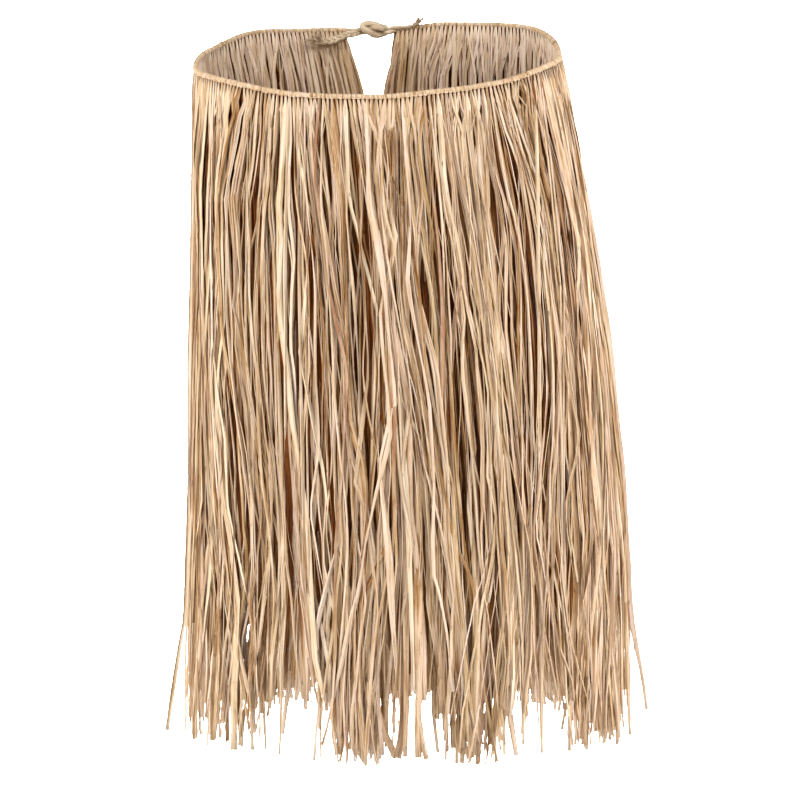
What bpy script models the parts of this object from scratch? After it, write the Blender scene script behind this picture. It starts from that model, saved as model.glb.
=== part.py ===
# A raffia grass skirt, worn: an open waist cord tied at the back, with hanging strands looped onto it.
# Metres, +Z up. The origin is the centre of the waist opening, the front faces -Y and the knot is at +Y.
import bisect
import math
import random

import bmesh
import bpy
import numpy as np
from mathutils import Vector

# Driving dimensions.
cordRadius = 0.0024
tieRadius = 0.0022
seamGap = 0.0003
headingHeight = 0.0065
headingInside = 0.0022
ridgeOutside = 0.0023
valleyOutside = 0.0009
lockCount = 212
lockThickness = 0.0028
widestLock = 0.0082
outerLayer = 0.0009
innerLayer = -0.0034
fullnessRange = (0.74, 0.94)
closestShare = 0.46
tipWidthShare = 0.34
tipThicknessShare = 0.6
swayReach = 0.0008
liftReach = 0.0003
wideSwell = 0.0016
narrowSwell = 0.0012
levelAt = 0.20
slitReach = 0.16
cordSpacing = 0.012
tieSpacing = 0.0055
legLength = 0.004
seed = 11

# The plan of the skirt at each drop below the waist. The last three columns are the squareness of the
# plan's front, back left and back right: 2 is an ellipse, less is more pointed and more is boxier.
bodySections = (
    # drop, left, right, front, back, front shape, back left shape, back right shape
    (0.000, 0.1965, 0.1965, 0.146, 0.146, 1.85, 2.35, 2.70),
    (0.050, 0.1965, 0.2045, 0.149, 0.147, 1.90, 2.30, 2.50),
    (0.160, 0.1970, 0.2245, 0.153, 0.148, 2.00, 2.20, 2.30),
    (0.315, 0.2010, 0.2465, 0.155, 0.149, 2.05, 2.20, 2.20),
    (0.515, 0.2045, 0.2665, 0.155, 0.149, 2.10, 2.20, 2.20),
    (0.760, 0.2060, 0.2720, 0.152, 0.148, 2.10, 2.20, 2.20),
)

# The waist cord rises and dips as it goes round: 0 degrees is the front, 90 the right side.
cordHeights = (
    # degrees, height
    (-180, 0.0008), (-150, 0.0030), (-132, 0.0060), (-110, -0.0025), (-90, -0.0050), (-62, -0.0020),
    (-35, -0.0045), (0, -0.0024), (30, 0.0012), (50, 0.0028), (75, 0.0080), (95, 0.0075),
    (120, 0.0145), (150, 0.0095), (172, 0.0030), (180, 0.0008),
)

# The opening at the back, a V that the strands close as they fall: the x of the last lock on each side.
backSlit = (
    # drop, left edge, right edge
    (0.000, -0.0370, 0.0230),
    (0.072, -0.0200, 0.0160),
    (0.156, -0.0005, 0.0085),
    (0.400, 0.0170, 0.0270),
    (0.760, 0.0270, 0.0370),
)

# Where the strands draw apart. Place is the fraction of the way round from the front centre (0) to the
# back centre, negative on the left. A parting with no closing drop stays open to the hem.
partings = (
    # place, half opening, reach, opens at, widest at, closes at
    (-0.202, 0.0330, 0.105, 0.470, 0.745, None),
    (0.225, 0.0290, 0.100, 0.470, 0.745, None),
    (-0.018, 0.0030, 0.022, 0.640, 0.745, None),
    (0.036, 0.0030, 0.022, 0.640, 0.745, None),
    (-0.460, 0.0080, 0.060, 0.560, 0.745, None),
    (0.555, 0.0080, 0.060, 0.560, 0.745, None),
    (-0.630, 0.0110, 0.060, 0.520, 0.745, None),
    (-0.930, 0.0100, 0.060, 0.540, 0.745, None),
    (0.900, 0.0090, 0.055, 0.560, 0.745, None),
    (0.640, 0.0110, 0.060, 0.500, 0.745, None),
    (-0.285, 0.0030, 0.050, 0.330, 0.450, 0.560),
    (0.335, 0.0030, 0.050, 0.330, 0.450, 0.560),
    (-0.270, 0.0020, 0.030, 0.040, 0.110, 0.200),
    (0.235, 0.0020, 0.030, 0.030, 0.080, 0.150),
)

# How far the hem hangs below the waist at each place round it.
hemDrops = (
    # place, drop
    (-1.00, 0.742), (-0.75, 0.747), (-0.50, 0.752), (-0.36, 0.747), (-0.20, 0.722), (-0.12, 0.748),
    (-0.04, 0.748), (0.01, 0.738), (0.07, 0.748), (0.15, 0.752), (0.225, 0.722), (0.38, 0.747),
    (0.52, 0.752), (0.75, 0.747), (1.00, 0.742),
)
hemRagged = 0.026
shortest = 0.668

# Single strands that stray outwards below the hips.
strays = (
    # place, outward, drop
    (-0.490, 0.0250, 0.746),
    (-0.440, 0.0100, 0.735),
    (0.470, 0.0080, 0.742),
    (0.540, 0.0190, 0.722),
)

# The drops at which a lock has a section, above its tip.
lockLevels = (0.030, 0.110, 0.240, 0.390, 0.540, 0.650)

# The fringe nodes, from one side of the back opening to the other. They end where the strands part.
fringeRun = (
    # name, place where it ends
    ("fringe_back_left_1", -0.83),
    ("fringe_back_left_2", -0.73),
    ("fringe_back_left_3", -0.63),
    ("fringe_left_side_1", -0.55),
    ("fringe_left_side_2", -0.46),
    ("fringe_left_side_3", -0.37),
    ("fringe_front_left_1", -0.285),
    ("fringe_front_left_2", -0.202),
    ("fringe_front_left_3", -0.11),
    ("fringe_front_left_4", -0.018),
    ("fringe_front_right_1", 0.10),
    ("fringe_front_right_2", 0.225),
    ("fringe_front_right_3", 0.30),
    ("fringe_front_right_4", 0.38),
    ("fringe_right_side_1", 0.47),
    ("fringe_right_side_2", 0.555),
    ("fringe_right_side_3", 0.64),
    ("fringe_back_right_1", 0.74),
    ("fringe_back_right_2", 0.85),
    ("fringe_back_right_3", 1.00),
)

# The flat knot's left turn, in the knot's own axes: along, across and through, in units of tieRadius.
# The right turn is the same, turned end for end, but it dives where the left turn rises.
knotCentre = (-0.0065, 0.1455, 0.0024)
knotLean = 40
knotRoll = 8
leftTurn = (
    # along, across, through
    (-5.90, 1.10, -1.10),
    (-4.40, 1.10, -1.12),
    (-3.10, 1.10, -1.00),
    (-2.00, 1.15, -0.15),
    (-1.00, 1.30, 0.75),
    (0.20, 1.90, 1.15),
    (1.50, 2.75, 1.18),
    (2.80, 3.15, 1.18),
    (3.90, 2.30, 1.18),
    (4.35, 0.00, 1.18),
)
rightTurn = (
    # along, across, through
    (5.90, 1.10, -1.10),
    (4.40, 1.10, -1.12),
    (3.20, 1.15, -1.12),
    (2.10, 1.60, -1.15),
    (0.90, 2.45, -1.15),
    (-0.50, 3.15, -1.00),
    (-2.00, 3.45, -0.30),
    (-3.30, 3.05, 0.65),
    (-4.20, 1.90, 1.15),
    (-4.45, 0.00, 1.20),
)

# The two free ends of the tie, from the knot outwards.
leftEnd = (
    # x, y, z
    (-0.0290, 0.1420, -0.0036),
    (-0.0400, 0.1374, -0.0056),
    (-0.0520, 0.1345, -0.0080),
    (-0.0640, 0.1327, -0.0102),
    (-0.0760, 0.1300, -0.0122),
    (-0.0860, 0.1272, -0.0136),
)
rightEnd = (
    # x, y, z
    (0.0160, 0.1470, 0.0078),
    (0.0240, 0.1468, 0.0092),
    (0.0320, 0.1462, 0.0102),
    (0.0400, 0.1458, 0.0122),
    (0.0460, 0.1456, 0.0150),
)

straw = (0.55, 0.38, 0.22)
paleStraw = (0.62, 0.45, 0.28)


def clear_scene():
    for leftover in list(bpy.data.objects):
        bpy.data.objects.remove(leftover, do_unlink=True)


def material(name, colour):
    made = bpy.data.materials.new(name)
    made.use_nodes = True
    shader = made.node_tree.nodes["Principled BSDF"]
    shader.inputs["Base Color"].default_value = (*colour, 1.0)
    shader.inputs["Roughness"].default_value = 0.75
    shader.inputs["Metallic"].default_value = 0.0
    return made


def smooth_step(value, start, end):
    part = min(max((value - start) / (end - start), 0.0), 1.0)
    return part * part * (3.0 - 2.0 * part)


def read_table(rows, place, column):
    return float(np.interp(place, [row[0] for row in rows], [row[column] for row in rows]))


def smooth_table(rows, place):
    """A value between two rows, easing from one to the next."""
    places = [row[0] for row in rows]
    last = min(max(bisect.bisect_right(places, place), 1), len(rows) - 1)
    before, after = rows[last - 1], rows[last]
    return before[1] + (after[1] - before[1]) * smooth_step(place, before[0], after[0])


class Section:
    """The plan of the skirt at one drop: a closed curve measured along from its front centre."""

    steps = 720

    def __init__(self, drop):
        left, right, front, back, frontShape, backLeft, backRight = (
            read_table(bodySections, drop, column) for column in range(1, 8))
        self.centre = (right - left) / 2
        halfWidth = (right + left) / 2
        turn = np.linspace(-1.25 * math.pi, 1.25 * math.pi, self.steps + 1)
        sine, cosine = np.sin(turn), np.cos(turn)
        shape = np.where(cosine > 0, frontShape, np.where(sine < 0, backLeft, backRight))
        depth = np.where(cosine > 0, front, back)
        self.x = self.centre + halfWidth * np.sign(sine) * np.abs(sine) ** (2 / shape)
        self.y = -depth * np.sign(cosine) * np.abs(cosine) ** (2 / shape)
        length = np.concatenate(([0.0], np.cumsum(np.hypot(np.diff(self.x), np.diff(self.y)))))
        self.along = length - np.interp(0.0, turn, length)
        self.leftLength = -float(np.interp(-math.pi, turn, self.along))
        self.rightLength = float(np.interp(math.pi, turn, self.along))
        self.alongX = np.gradient(self.x, self.along)
        self.alongY = np.gradient(self.y, self.along)

    def at(self, along):
        """The point at a distance along, with the unit vectors along and outwards."""
        x, y, stepX, stepY = (float(np.interp(along, self.along, values))
                              for values in (self.x, self.y, self.alongX, self.alongY))
        tangent = Vector((stepX, stepY, 0.0)).normalized()
        return Vector((x, y, 0.0)), tangent, Vector((tangent.y, -tangent.x, 0.0))

    def distance(self, fraction):
        return fraction * (self.rightLength if fraction > 0 else self.leftLength)

    def fraction(self, along):
        return along / (self.rightLength if along > 0 else self.leftLength)

    def back_edge(self, x, side):
        """The distance along to a given x on the back, reached from the left or the right."""
        if side < 0:
            rows = self.along < -0.6 * self.leftLength
        else:
            rows = self.along > 0.6 * self.rightLength
        return float(np.interp(-x, -self.x[rows], self.along[rows]))


sectionsMade = {}


def section(drop):
    key = round(drop, 5)
    if key not in sectionsMade:
        sectionsMade[key] = Section(key)
    return sectionsMade[key]


def cord_height(point):
    return smooth_table(cordHeights, math.degrees(math.atan2(point.x, -point.y)))


def height(point, drop):
    """The waist's ups and downs fade out below it, so the hem hangs level."""
    return cord_height(point) * (1.0 - smooth_step(drop, 0.0, levelAt)) - drop


def slit_shift(fraction, drop):
    """How far a lock moves along to close the opening at the back."""
    waist, here = section(0.0), section(drop)
    moved = 0.0
    for side, column in ((-1, 1), (1, 2)):
        edge = waist.back_edge(read_table(backSlit, 0.0, column), side)
        away = abs(edge - waist.distance(fraction))
        target = here.back_edge(read_table(backSlit, drop, column), side)
        share = max(0.0, 1.0 - away / slitReach)
        moved += (target - here.distance(waist.fraction(edge))) * share
    return moved


def parting_shift(fraction, drop):
    """How far a lock moves along where the strands part."""
    here = section(drop)
    moved = 0.0
    for place, opening, reach, opens, widest, closes in partings:
        away = here.distance(fraction) - here.distance(place)
        if abs(away) < reach:
            amount = min(max((drop - opens) / (widest - opens), 0.0), 1.0) ** 2
            if closes is not None:
                amount *= 1.0 - smooth_step(drop, widest, closes)
            moved += math.copysign(opening * (1.0 - abs(away) / reach), away) * amount
    return moved


class Lock:
    """One hanging lock: its place along, its layer and its small departures from its neighbours."""

    def __init__(self, number, fraction, chance):
        self.outer = number % 2 == 0
        self.fraction = fraction
        self.fullness = chance.uniform(*fullnessRange)
        self.sway = [chance.uniform(-swayReach, swayReach) for level in range(len(lockLevels) + 1)]
        self.lift = [chance.uniform(-liftReach, liftReach) for level in range(len(lockLevels) + 1)]
        ragged = hemRagged * chance.random() ** 1.6
        self.tip = max(smooth_table(hemDrops, fraction) - ragged, shortest)
        self.outward = 0.0

    def drops(self):
        return lockLevels + (self.tip,)

    def along(self, level):
        """The distance along at one level, before its width is known."""
        drop = self.drops()[level]
        sway = self.sway[level] * smooth_step(drop, 0.0, 0.3)
        return (section(drop).distance(self.fraction) + slit_shift(self.fraction, drop)
                + parting_shift(self.fraction, drop) + sway)

    def outwards(self, level):
        """The distance of the lock's flat back outside the skirt's plan."""
        drop = self.drops()[level]
        swell = wideSwell * math.sin(23.0 * self.fraction + 5.0 * drop) * smooth_step(drop, 0.02, 0.2)
        swell += narrowSwell * math.sin(61.0 * self.fraction - 8.0 * drop) * smooth_step(drop, 0.05, 0.4)
        stray = self.outward * smooth_step(drop, lockLevels[-2], self.tip)
        return (outerLayer if self.outer else innerLayer) + self.lift[level] + swell + stray


def make_locks():
    chance = random.Random(seed)
    waist = section(0.0)
    first = waist.back_edge(read_table(backSlit, 0.0, 1), -1)
    last = waist.back_edge(read_table(backSlit, 0.0, 2), 1)
    pitch = (last - first) / (lockCount - 1)
    locks = [Lock(number, waist.fraction(first + pitch * number), chance) for number in range(lockCount)]
    for place, outward, drop in strays:
        stray = min((lock for lock in locks if lock.outer), key=lambda lock: abs(lock.fraction - place))
        stray.outward = outward
        stray.tip = drop
        stray.fullness = 0.42
    return locks, first, pitch


def lock_rings(locks, number, pitch):
    """The three points of a lock's section at each level: left, right and the ridge outside."""
    lock = locks[number]
    rings = []
    for level, drop in enumerate(lock.drops()):
        here = lock.along(level)
        room = [abs(here - locks[other].along(level)) for other in (number - 2, number + 2)
                if 0 <= other < len(locks)]
        half = min([widestLock / 2] + [space * closestShare for space in room]) * lock.fullness
        if level == 0:
            half = min(half, pitch * 0.48)
        thick = lockThickness
        if level == len(lockLevels):
            half *= tipWidthShare
            thick *= tipThicknessShare
        point, tangent, outside = section(drop).at(here)
        back = point + outside * lock.outwards(level)
        back.z = height(point, drop)
        rings.append((back - tangent * half, back + tangent * half, back + outside * thick))
    return rings


def add_fringe(name, locks, numbers, first, pitch):
    """One heading strip with its locks: the strip's ridges and the roots of the locks are shared."""
    waist = section(0.0)
    mesh = bmesh.new()

    def rim(along, outward, below):
        point, tangent, outside = waist.at(along)
        level = cord_height(point) - cordRadius - seamGap - below
        return mesh.verts.new((point.x + outside.x * outward, point.y + outside.y * outward, level))

    def heading_edge(along, outward):
        return rim(along, outward, 0.0), rim(along, outward, headingHeight)

    starts = [first + pitch * (number - 0.5) for number in numbers] + [first + pitch * (numbers[-1] + 0.5)]
    starts[0] += seamGap / 2
    starts[-1] -= seamGap / 2
    inner = [heading_edge(along, -headingInside) for along in starts]
    valley = [heading_edge(along, valleyOutside) for along in starts]
    ridge = [heading_edge(first + pitch * number, ridgeOutside) for number in numbers]
    faces = [(inner[0][0], inner[0][1], valley[0][1], valley[0][0]),
             (valley[-1][0], valley[-1][1], inner[-1][1], inner[-1][0])]
    for place, number in enumerate(numbers):
        left, right = valley[place], valley[place + 1]
        nose = ridge[place]
        backLeft, backRight = inner[place], inner[place + 1]
        faces += [(left[0], left[1], nose[1], nose[0]), (nose[0], nose[1], right[1], right[0])]
        faces += [(backRight[0], backRight[1], backLeft[1], backLeft[0])]
        faces += [(backLeft[0], left[0], nose[0]), (backLeft[0], nose[0], backRight[0]),
                  (backRight[0], nose[0], right[0])]
        faces += [(backLeft[1], nose[1], left[1]), (backRight[1], right[1], nose[1])]
        above = (backLeft[1], backRight[1], nose[1])
        for ring in lock_rings(locks, number, pitch):
            below = tuple(mesh.verts.new(corner) for corner in ring)
            for corner in range(3):
                after = (corner + 1) % 3
                faces += [(above[corner], above[after], below[after], below[corner])]
            above = below
        faces += [above]
    for corners in faces:
        mesh.faces.new(corners)
    bmesh.ops.triangulate(mesh, faces=mesh.faces[:])
    bmesh.ops.recalc_face_normals(mesh, faces=mesh.faces[:])
    data = bpy.data.meshes.new(name)
    mesh.to_mesh(data)
    mesh.free()
    data.materials.append(material(name + "_raffia", straw))
    fringe = bpy.data.objects.new(name, data)
    bpy.context.scene.collection.objects.link(fringe)
    return fringe


def add_fringes():
    locks, first, pitch = make_locks()
    start = 0
    for name, endPlace in fringeRun:
        end = sum(lock.fraction < endPlace for lock in locks)
        add_fringe(name, locks, list(range(start, end)), first, pitch)
        start = end


def smooth_route(points, spacing):
    """Evenly spaced points on a smooth curve through the given ones."""
    stops = [Vector(point) for point in points]
    stops = [stops[0] * 2 - stops[1]] + stops + [stops[-1] * 2 - stops[-2]]
    fine = []
    for before, start, end, after in zip(stops, stops[1:], stops[2:], stops[3:]):
        for step in range(24):
            t = step / 24
            fine.append(0.5 * (2 * start + (end - before) * t
                               + (2 * before - 5 * start + 4 * end - after) * t ** 2
                               + (3 * start - before - 3 * end + after) * t ** 3))
    fine.append(stops[-2])
    travelled = np.concatenate(([0.0], np.cumsum([(b - a).length for a, b in zip(fine, fine[1:])])))
    count = max(2, round(travelled[-1] / spacing))
    wanted = np.linspace(0.0, travelled[-1], count + 1)
    axes = [np.interp(wanted, travelled, [point[axis] for point in fine]) for axis in range(3)]
    return [Vector(point) for point in zip(*axes)]


def add_cord(name, points, radius, colour):
    curve = bpy.data.curves.new(name, "CURVE")
    curve.dimensions = "3D"
    curve.bevel_depth = radius
    curve.bevel_resolution = 2
    curve.use_fill_caps = True
    spline = curve.splines.new("POLY")
    spline.points.add(len(points) - 1)
    for stop, point in zip(spline.points, points):
        stop.co = (*point, 1.0)
    curve.materials.append(material(name + "_raffia", colour))
    cord = bpy.data.objects.new(name, curve)
    bpy.context.scene.collection.objects.link(cord)
    return cord


def knot_point(along, across, through):
    """A point in the knot's own axes, in the skirt's: the knot leans back and rolls a little."""
    lean, roll = math.radians(knotLean), math.radians(knotRoll)
    x = along
    y = across * math.sin(lean) - through * math.cos(lean)
    z = across * math.cos(lean) + through * math.sin(lean)
    turned = Vector((x * math.cos(roll) - z * math.sin(roll), y, x * math.sin(roll) + z * math.cos(roll)))
    return Vector(knotCentre) + turned * tieRadius


def knot_turn(half):
    """The whole turn: out along one leg, round the end and back along the other."""
    back = [(along, -across, through) for along, across, through in half[-2::-1]]
    return [knot_point(*row) for row in list(half) + back]


def leading_out(end, before):
    """Two points that carry a route straight on from where a turn of the knot ends."""
    onwards = (end - before).normalized()
    return [end + onwards * seamGap, end + onwards * legLength]


def add_tie():
    left = smooth_route(knot_turn(leftTurn), tieRadius)
    right = smooth_route(knot_turn(rightTurn), tieRadius)
    add_cord("tie_knot_left", left, tieRadius, paleStraw)
    add_cord("tie_knot_right", right, tieRadius, paleStraw)
    for name, leg, stops in (("tie_end_left", leading_out(left[-1], left[-2]), leftEnd),
                             ("tie_end_right", leading_out(right[0], right[1]), rightEnd)):
        add_cord(name, leg[:1] + smooth_route(leg[1:] + list(stops), tieSpacing), tieRadius, paleStraw)
    return leading_out(left[0], left[1]), leading_out(right[-1], right[-2])


def add_waist_cord(leftLeg, rightLeg):
    """Round the waist from the knot's left leg, over the front, to its right leg."""
    waist = section(0.0)
    first = waist.back_edge(read_table(backSlit, 0.0, 1), -1)
    last = waist.back_edge(read_table(backSlit, 0.0, 2), 1)
    route = []
    for along in np.linspace(first, last, round((last - first) / cordSpacing) + 1):
        point, tangent, outside = waist.at(along)
        route.append((point.x, point.y, cord_height(point)))
    points = leftLeg[:1] + smooth_route(leftLeg[1:] + route + rightLeg[:0:-1], cordSpacing) + rightLeg[:1]
    add_cord("waist_cord", points, cordRadius, straw)


def build():
    clear_scene()
    add_fringes()
    leftLeg, rightLeg = add_tie()
    add_waist_cord(leftLeg, rightLeg)


build()
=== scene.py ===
import math

import bpy
import numpy as np
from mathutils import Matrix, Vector


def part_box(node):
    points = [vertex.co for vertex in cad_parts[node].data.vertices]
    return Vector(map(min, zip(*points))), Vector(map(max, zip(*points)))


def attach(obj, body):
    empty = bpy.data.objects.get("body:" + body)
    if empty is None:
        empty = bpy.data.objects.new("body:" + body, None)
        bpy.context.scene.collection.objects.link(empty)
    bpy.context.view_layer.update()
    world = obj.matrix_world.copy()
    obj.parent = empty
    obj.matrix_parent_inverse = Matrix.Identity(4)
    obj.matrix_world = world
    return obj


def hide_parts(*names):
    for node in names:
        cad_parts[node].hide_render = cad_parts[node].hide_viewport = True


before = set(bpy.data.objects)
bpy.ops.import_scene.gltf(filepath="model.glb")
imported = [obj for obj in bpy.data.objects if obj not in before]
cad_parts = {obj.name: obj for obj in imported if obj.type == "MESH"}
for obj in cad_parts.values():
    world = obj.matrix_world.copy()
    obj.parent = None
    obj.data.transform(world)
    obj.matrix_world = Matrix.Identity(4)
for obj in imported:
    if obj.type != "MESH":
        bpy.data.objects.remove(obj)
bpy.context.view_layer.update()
print("frame loaded:", len(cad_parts), "nodes")

mm = 0.001

# camera: a little above the waist, with a long lens so that the skirt shows almost without perspective
view = {
    "elevation": 14.3,  # degrees
    "distance": 24.0,  # metres
    "lens": 600.0,  # mm
    "frameWidth": 0.864,  # metres seen across, at the skirt
    "imageSize": 800,
    "waistPixel": (377.5, 63.0),  # where the centre of the waist shows
    "clipEnd": 60.0,  # metres
}


def placed(name, data):
    made = bpy.data.objects.new(name, data)
    bpy.context.scene.collection.objects.link(made)
    return made


def addCamera():
    tilt = math.radians(view["elevation"])
    pixel = view["frameWidth"] / view["imageSize"]
    across = (view["imageSize"] / 2 - view["waistPixel"][0]) * pixel
    down = (view["imageSize"] / 2 - view["waistPixel"][1]) * pixel
    ahead = Vector((0, math.cos(tilt), -math.sin(tilt)))
    up = Vector((0, math.sin(tilt), math.cos(tilt)))
    aim = Vector((across, 0, 0)) - up * down
    camera = placed("studioCamera", bpy.data.cameras.new("studioCamera"))
    camera.data.lens = view["lens"]
    camera.data.sensor_width = view["lens"] * view["frameWidth"] / view["distance"]
    camera.data.clip_end = view["clipEnd"]
    camera.location = aim - ahead * view["distance"]
    camera.rotation_euler = ahead.to_track_quat("-Z", "Y").to_euler()
    bpy.context.scene.camera = camera


addCamera()


# materials
def linearColour(hexColour):
    parts = [int(hexColour[i:i + 2], 16) / 255 for i in (1, 3, 5)]
    return tuple(c / 12.92 if c <= 0.04045 else ((c + 0.055) / 1.055) ** 2.4 for c in parts) + (1.0,)


def addNode(tree, kind, inputs=None, **settings):
    # an input is a value, or the socket that feeds it
    node = tree.nodes.new(kind)
    for name, value in settings.items():
        setattr(node, name, value)
    for name, value in (inputs or {}).items():
        if isinstance(value, bpy.types.NodeSocket):
            tree.links.new(value, node.inputs[name])
        else:
            node.inputs[name].default_value = value
    return node


def setRamp(node, stops):
    ramp = node.color_ramp
    while len(ramp.elements) > 1:
        ramp.elements.remove(ramp.elements[-1])
    ramp.elements[0].position, ramp.elements[0].color = stops[0][0], stops[0][1]
    for position, colour in stops[1:]:
        ramp.elements.new(position).color = colour


# raffia palm leaf, split by hand and dried in the sun: straw to rusty tan, satin, with fine lengthwise fibres
raffia = {
    # the darkest tones serve mostly the dark core, whose tone is painted shade
    "tones": ((0.0, "#482008"), (0.20, "#7c4a18"), (0.42, "#a98459"), (0.65, "#d1b898"), (0.85, "#e2cdb6"),
              (1.0, "#ebdac8")),
    "tints": ("#fffdf0", "#fff6f7"),  # yellower strips and pinker ones
    # rust-brown of some strips, and the reddish cast of the dark core's painted shade
    "rust": "#8a4c1e",
    "fleck": "#4a2c12",
    "ior": 1.45,
    "gloss": 0.16,  # the fibres scatter most of the shine
    # name, mm across and along, detail, roughness: real fibres are 0.3 mm, drawn coarser so that they show
    "patterns": (
        ("fibre", 1.2, 60.0, 3.0, 0.60), ("blotch", 8.0, 55.0, 4.0, 0.62), ("fleck", 2.2, 14.0, 2.0, 0.50),
    ),
    # what each pattern is used for: name, pattern, from, to, and what these become
    "uses": (
        ("fibreTone", "fibre", 0.30, 0.70, -0.24, 0.24), ("blotchTone", "blotch", 0.30, 0.70, -0.16, 0.16),
        ("rustPatch", "blotch", 0.42, 0.62, 0.35, 1.00), ("fleckShare", "fleck", 0.67, 0.75, 0.00, 0.60),
        ("roughness", "fibre", 0.30, 0.70, 0.42, 0.68),
    ),
    "laneStep": 400.0,  # each strip has its own stretch of the patterns
    "fibreDepth": 0.00035,
    "fibreRelief": 0.9,
}


def splitRaffia():
    made = bpy.data.materials.new("splitDriedRaffia")
    made.use_nodes = True
    tree = made.node_tree
    shader = tree.nodes["Principled BSDF"]
    shader.inputs["IOR"].default_value = raffia["ior"]
    shader.inputs["Specular IOR Level"].default_value = raffia["gloss"]
    strip = addNode(tree, "ShaderNodeAttribute", attribute_name="stripTone")  # tone, rust, chance
    parts = addNode(tree, "ShaderNodeSeparateColor", {"Color": strip.outputs["Color"]})
    grain = addNode(tree, "ShaderNodeUVMap", uv_map="grain")  # mm across and along each strip
    place = addNode(tree, "ShaderNodeSeparateXYZ", {"Vector": grain.outputs["UV"]})
    lane = addNode(tree, "ShaderNodeMath", {0: parts.outputs["Blue"], 1: raffia["laneStep"]},
                   operation="MULTIPLY")
    spot = addNode(tree, "ShaderNodeCombineXYZ", {
        "X": place.outputs["X"], "Y": place.outputs["Y"], "Z": lane.outputs["Value"]})
    pattern = {}
    for name, across, along, detail, roughness in raffia["patterns"]:
        scaled = addNode(tree, "ShaderNodeVectorMath", {
            0: spot.outputs["Vector"], 1: (1 / across, 1 / along, 1.0)}, operation="MULTIPLY")
        noise = addNode(tree, "ShaderNodeTexNoise", {
            "Vector": scaled.outputs["Vector"], "Scale": 1.0, "Detail": detail, "Roughness": roughness})
        pattern[name] = noise.outputs["Fac"]
    use = {}
    for name, source, low, high, toLow, toHigh in raffia["uses"]:
        spread = addNode(tree, "ShaderNodeMapRange", {
            "Value": pattern[source], "From Min": low, "From Max": high, "To Min": toLow, "To Max": toHigh})
        use[name] = spread.outputs["Result"]

    added = addNode(tree, "ShaderNodeMath", {0: parts.outputs["Red"], 1: use["fibreTone"]}, operation="ADD")
    tone = addNode(tree, "ShaderNodeMath", {0: added.outputs["Value"], 1: use["blotchTone"]},
                   operation="ADD", use_clamp=True)
    ramp = addNode(tree, "ShaderNodeValToRGB", {"Fac": tone.outputs["Value"]})
    setRamp(ramp, [(stop, linearColour(colour)) for stop, colour in raffia["tones"]])
    # rust: real rust-brown on some strips, and on the dark core the reddish cast of its painted shade
    rust = addNode(tree, "ShaderNodeMath", {0: parts.outputs["Green"], 1: use["rustPatch"]},
                   operation="MULTIPLY", use_clamp=True)
    yellower, pinker = (linearColour(colour) for colour in raffia["tints"])
    tint = addNode(tree, "ShaderNodeMix", {"Factor": parts.outputs["Blue"], "A": yellower, "B": pinker},
                   data_type="RGBA")
    tinted = addNode(tree, "ShaderNodeMix", {
        "Factor": 1.0, "A": ramp.outputs["Color"], "B": tint.outputs["Result"]},
        data_type="RGBA", blend_type="MULTIPLY")
    rusted = addNode(tree, "ShaderNodeMix", {
        "Factor": rust.outputs["Value"], "A": tinted.outputs["Result"], "B": linearColour(raffia["rust"])},
        data_type="RGBA")
    flecked = addNode(tree, "ShaderNodeMix", {
        "Factor": use["fleckShare"], "A": rusted.outputs["Result"], "B": linearColour(raffia["fleck"])},
        data_type="RGBA")
    bump = addNode(tree, "ShaderNodeBump", {
        "Height": pattern["fibre"], "Strength": raffia["fibreRelief"], "Distance": raffia["fibreDepth"]})
    tree.links.new(flecked.outputs["Result"], shader.inputs["Base Color"])
    tree.links.new(use["roughness"], shader.inputs["Roughness"])
    tree.links.new(bump.outputs["Normal"], shader.inputs["Normal"])
    return made


# raffia fibres twisted into a cord: the same leaf, duller and a little greener, with fibres along each ply
cordFinish = {
    "tones": ((0.0, "#745a3c"), (0.35, "#b59b7a"), (0.65, "#d8c3a4"), (1.0, "#ecdcc4")),
    "roughness": 0.62,
    "ior": 1.50,
    "sheen": 0.15,  # loose fibre ends catch a little light
    "fibre": 0.9,  # mm across one fibre: drawn coarse so that it shows
    "fibreLength": 24.0,  # mm
    "fibreDepth": 0.0004,
}


def twistedRaffia():
    made = bpy.data.materials.new("twistedRaffiaCord")
    made.use_nodes = True
    tree = made.node_tree
    shader = tree.nodes["Principled BSDF"]
    shader.inputs["IOR"].default_value = cordFinish["ior"]
    shader.inputs["Roughness"].default_value = cordFinish["roughness"]
    shader.inputs["Sheen Weight"].default_value = cordFinish["sheen"]
    grain = addNode(tree, "ShaderNodeUVMap", uv_map="grain")  # mm across and along each ply
    scaled = addNode(tree, "ShaderNodeVectorMath", {
        0: grain.outputs["UV"], 1: (1 / cordFinish["fibre"], 1 / cordFinish["fibreLength"], 1.0)},
        operation="MULTIPLY")
    fibre = addNode(tree, "ShaderNodeTexNoise", {
        "Vector": scaled.outputs["Vector"], "Scale": 1.0, "Detail": 4.0, "Roughness": 0.65})
    tone = addNode(tree, "ShaderNodeMapRange", {
        "Value": fibre.outputs["Fac"], "From Min": 0.25, "From Max": 0.75})
    ramp = addNode(tree, "ShaderNodeValToRGB", {"Fac": tone.outputs["Result"]})
    setRamp(ramp, [(stop, linearColour(colour)) for stop, colour in cordFinish["tones"]])
    bump = addNode(tree, "ShaderNodeBump", {
        "Height": fibre.outputs["Fac"], "Strength": 1.0, "Distance": cordFinish["fibreDepth"]})
    tree.links.new(ramp.outputs["Color"], shader.inputs["Base Color"])
    tree.links.new(bump.outputs["Normal"], shader.inputs["Normal"])
    return made


raffiaMaterial = splitRaffia()
cordMaterial = twistedRaffia()
print("materials made")


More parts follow.
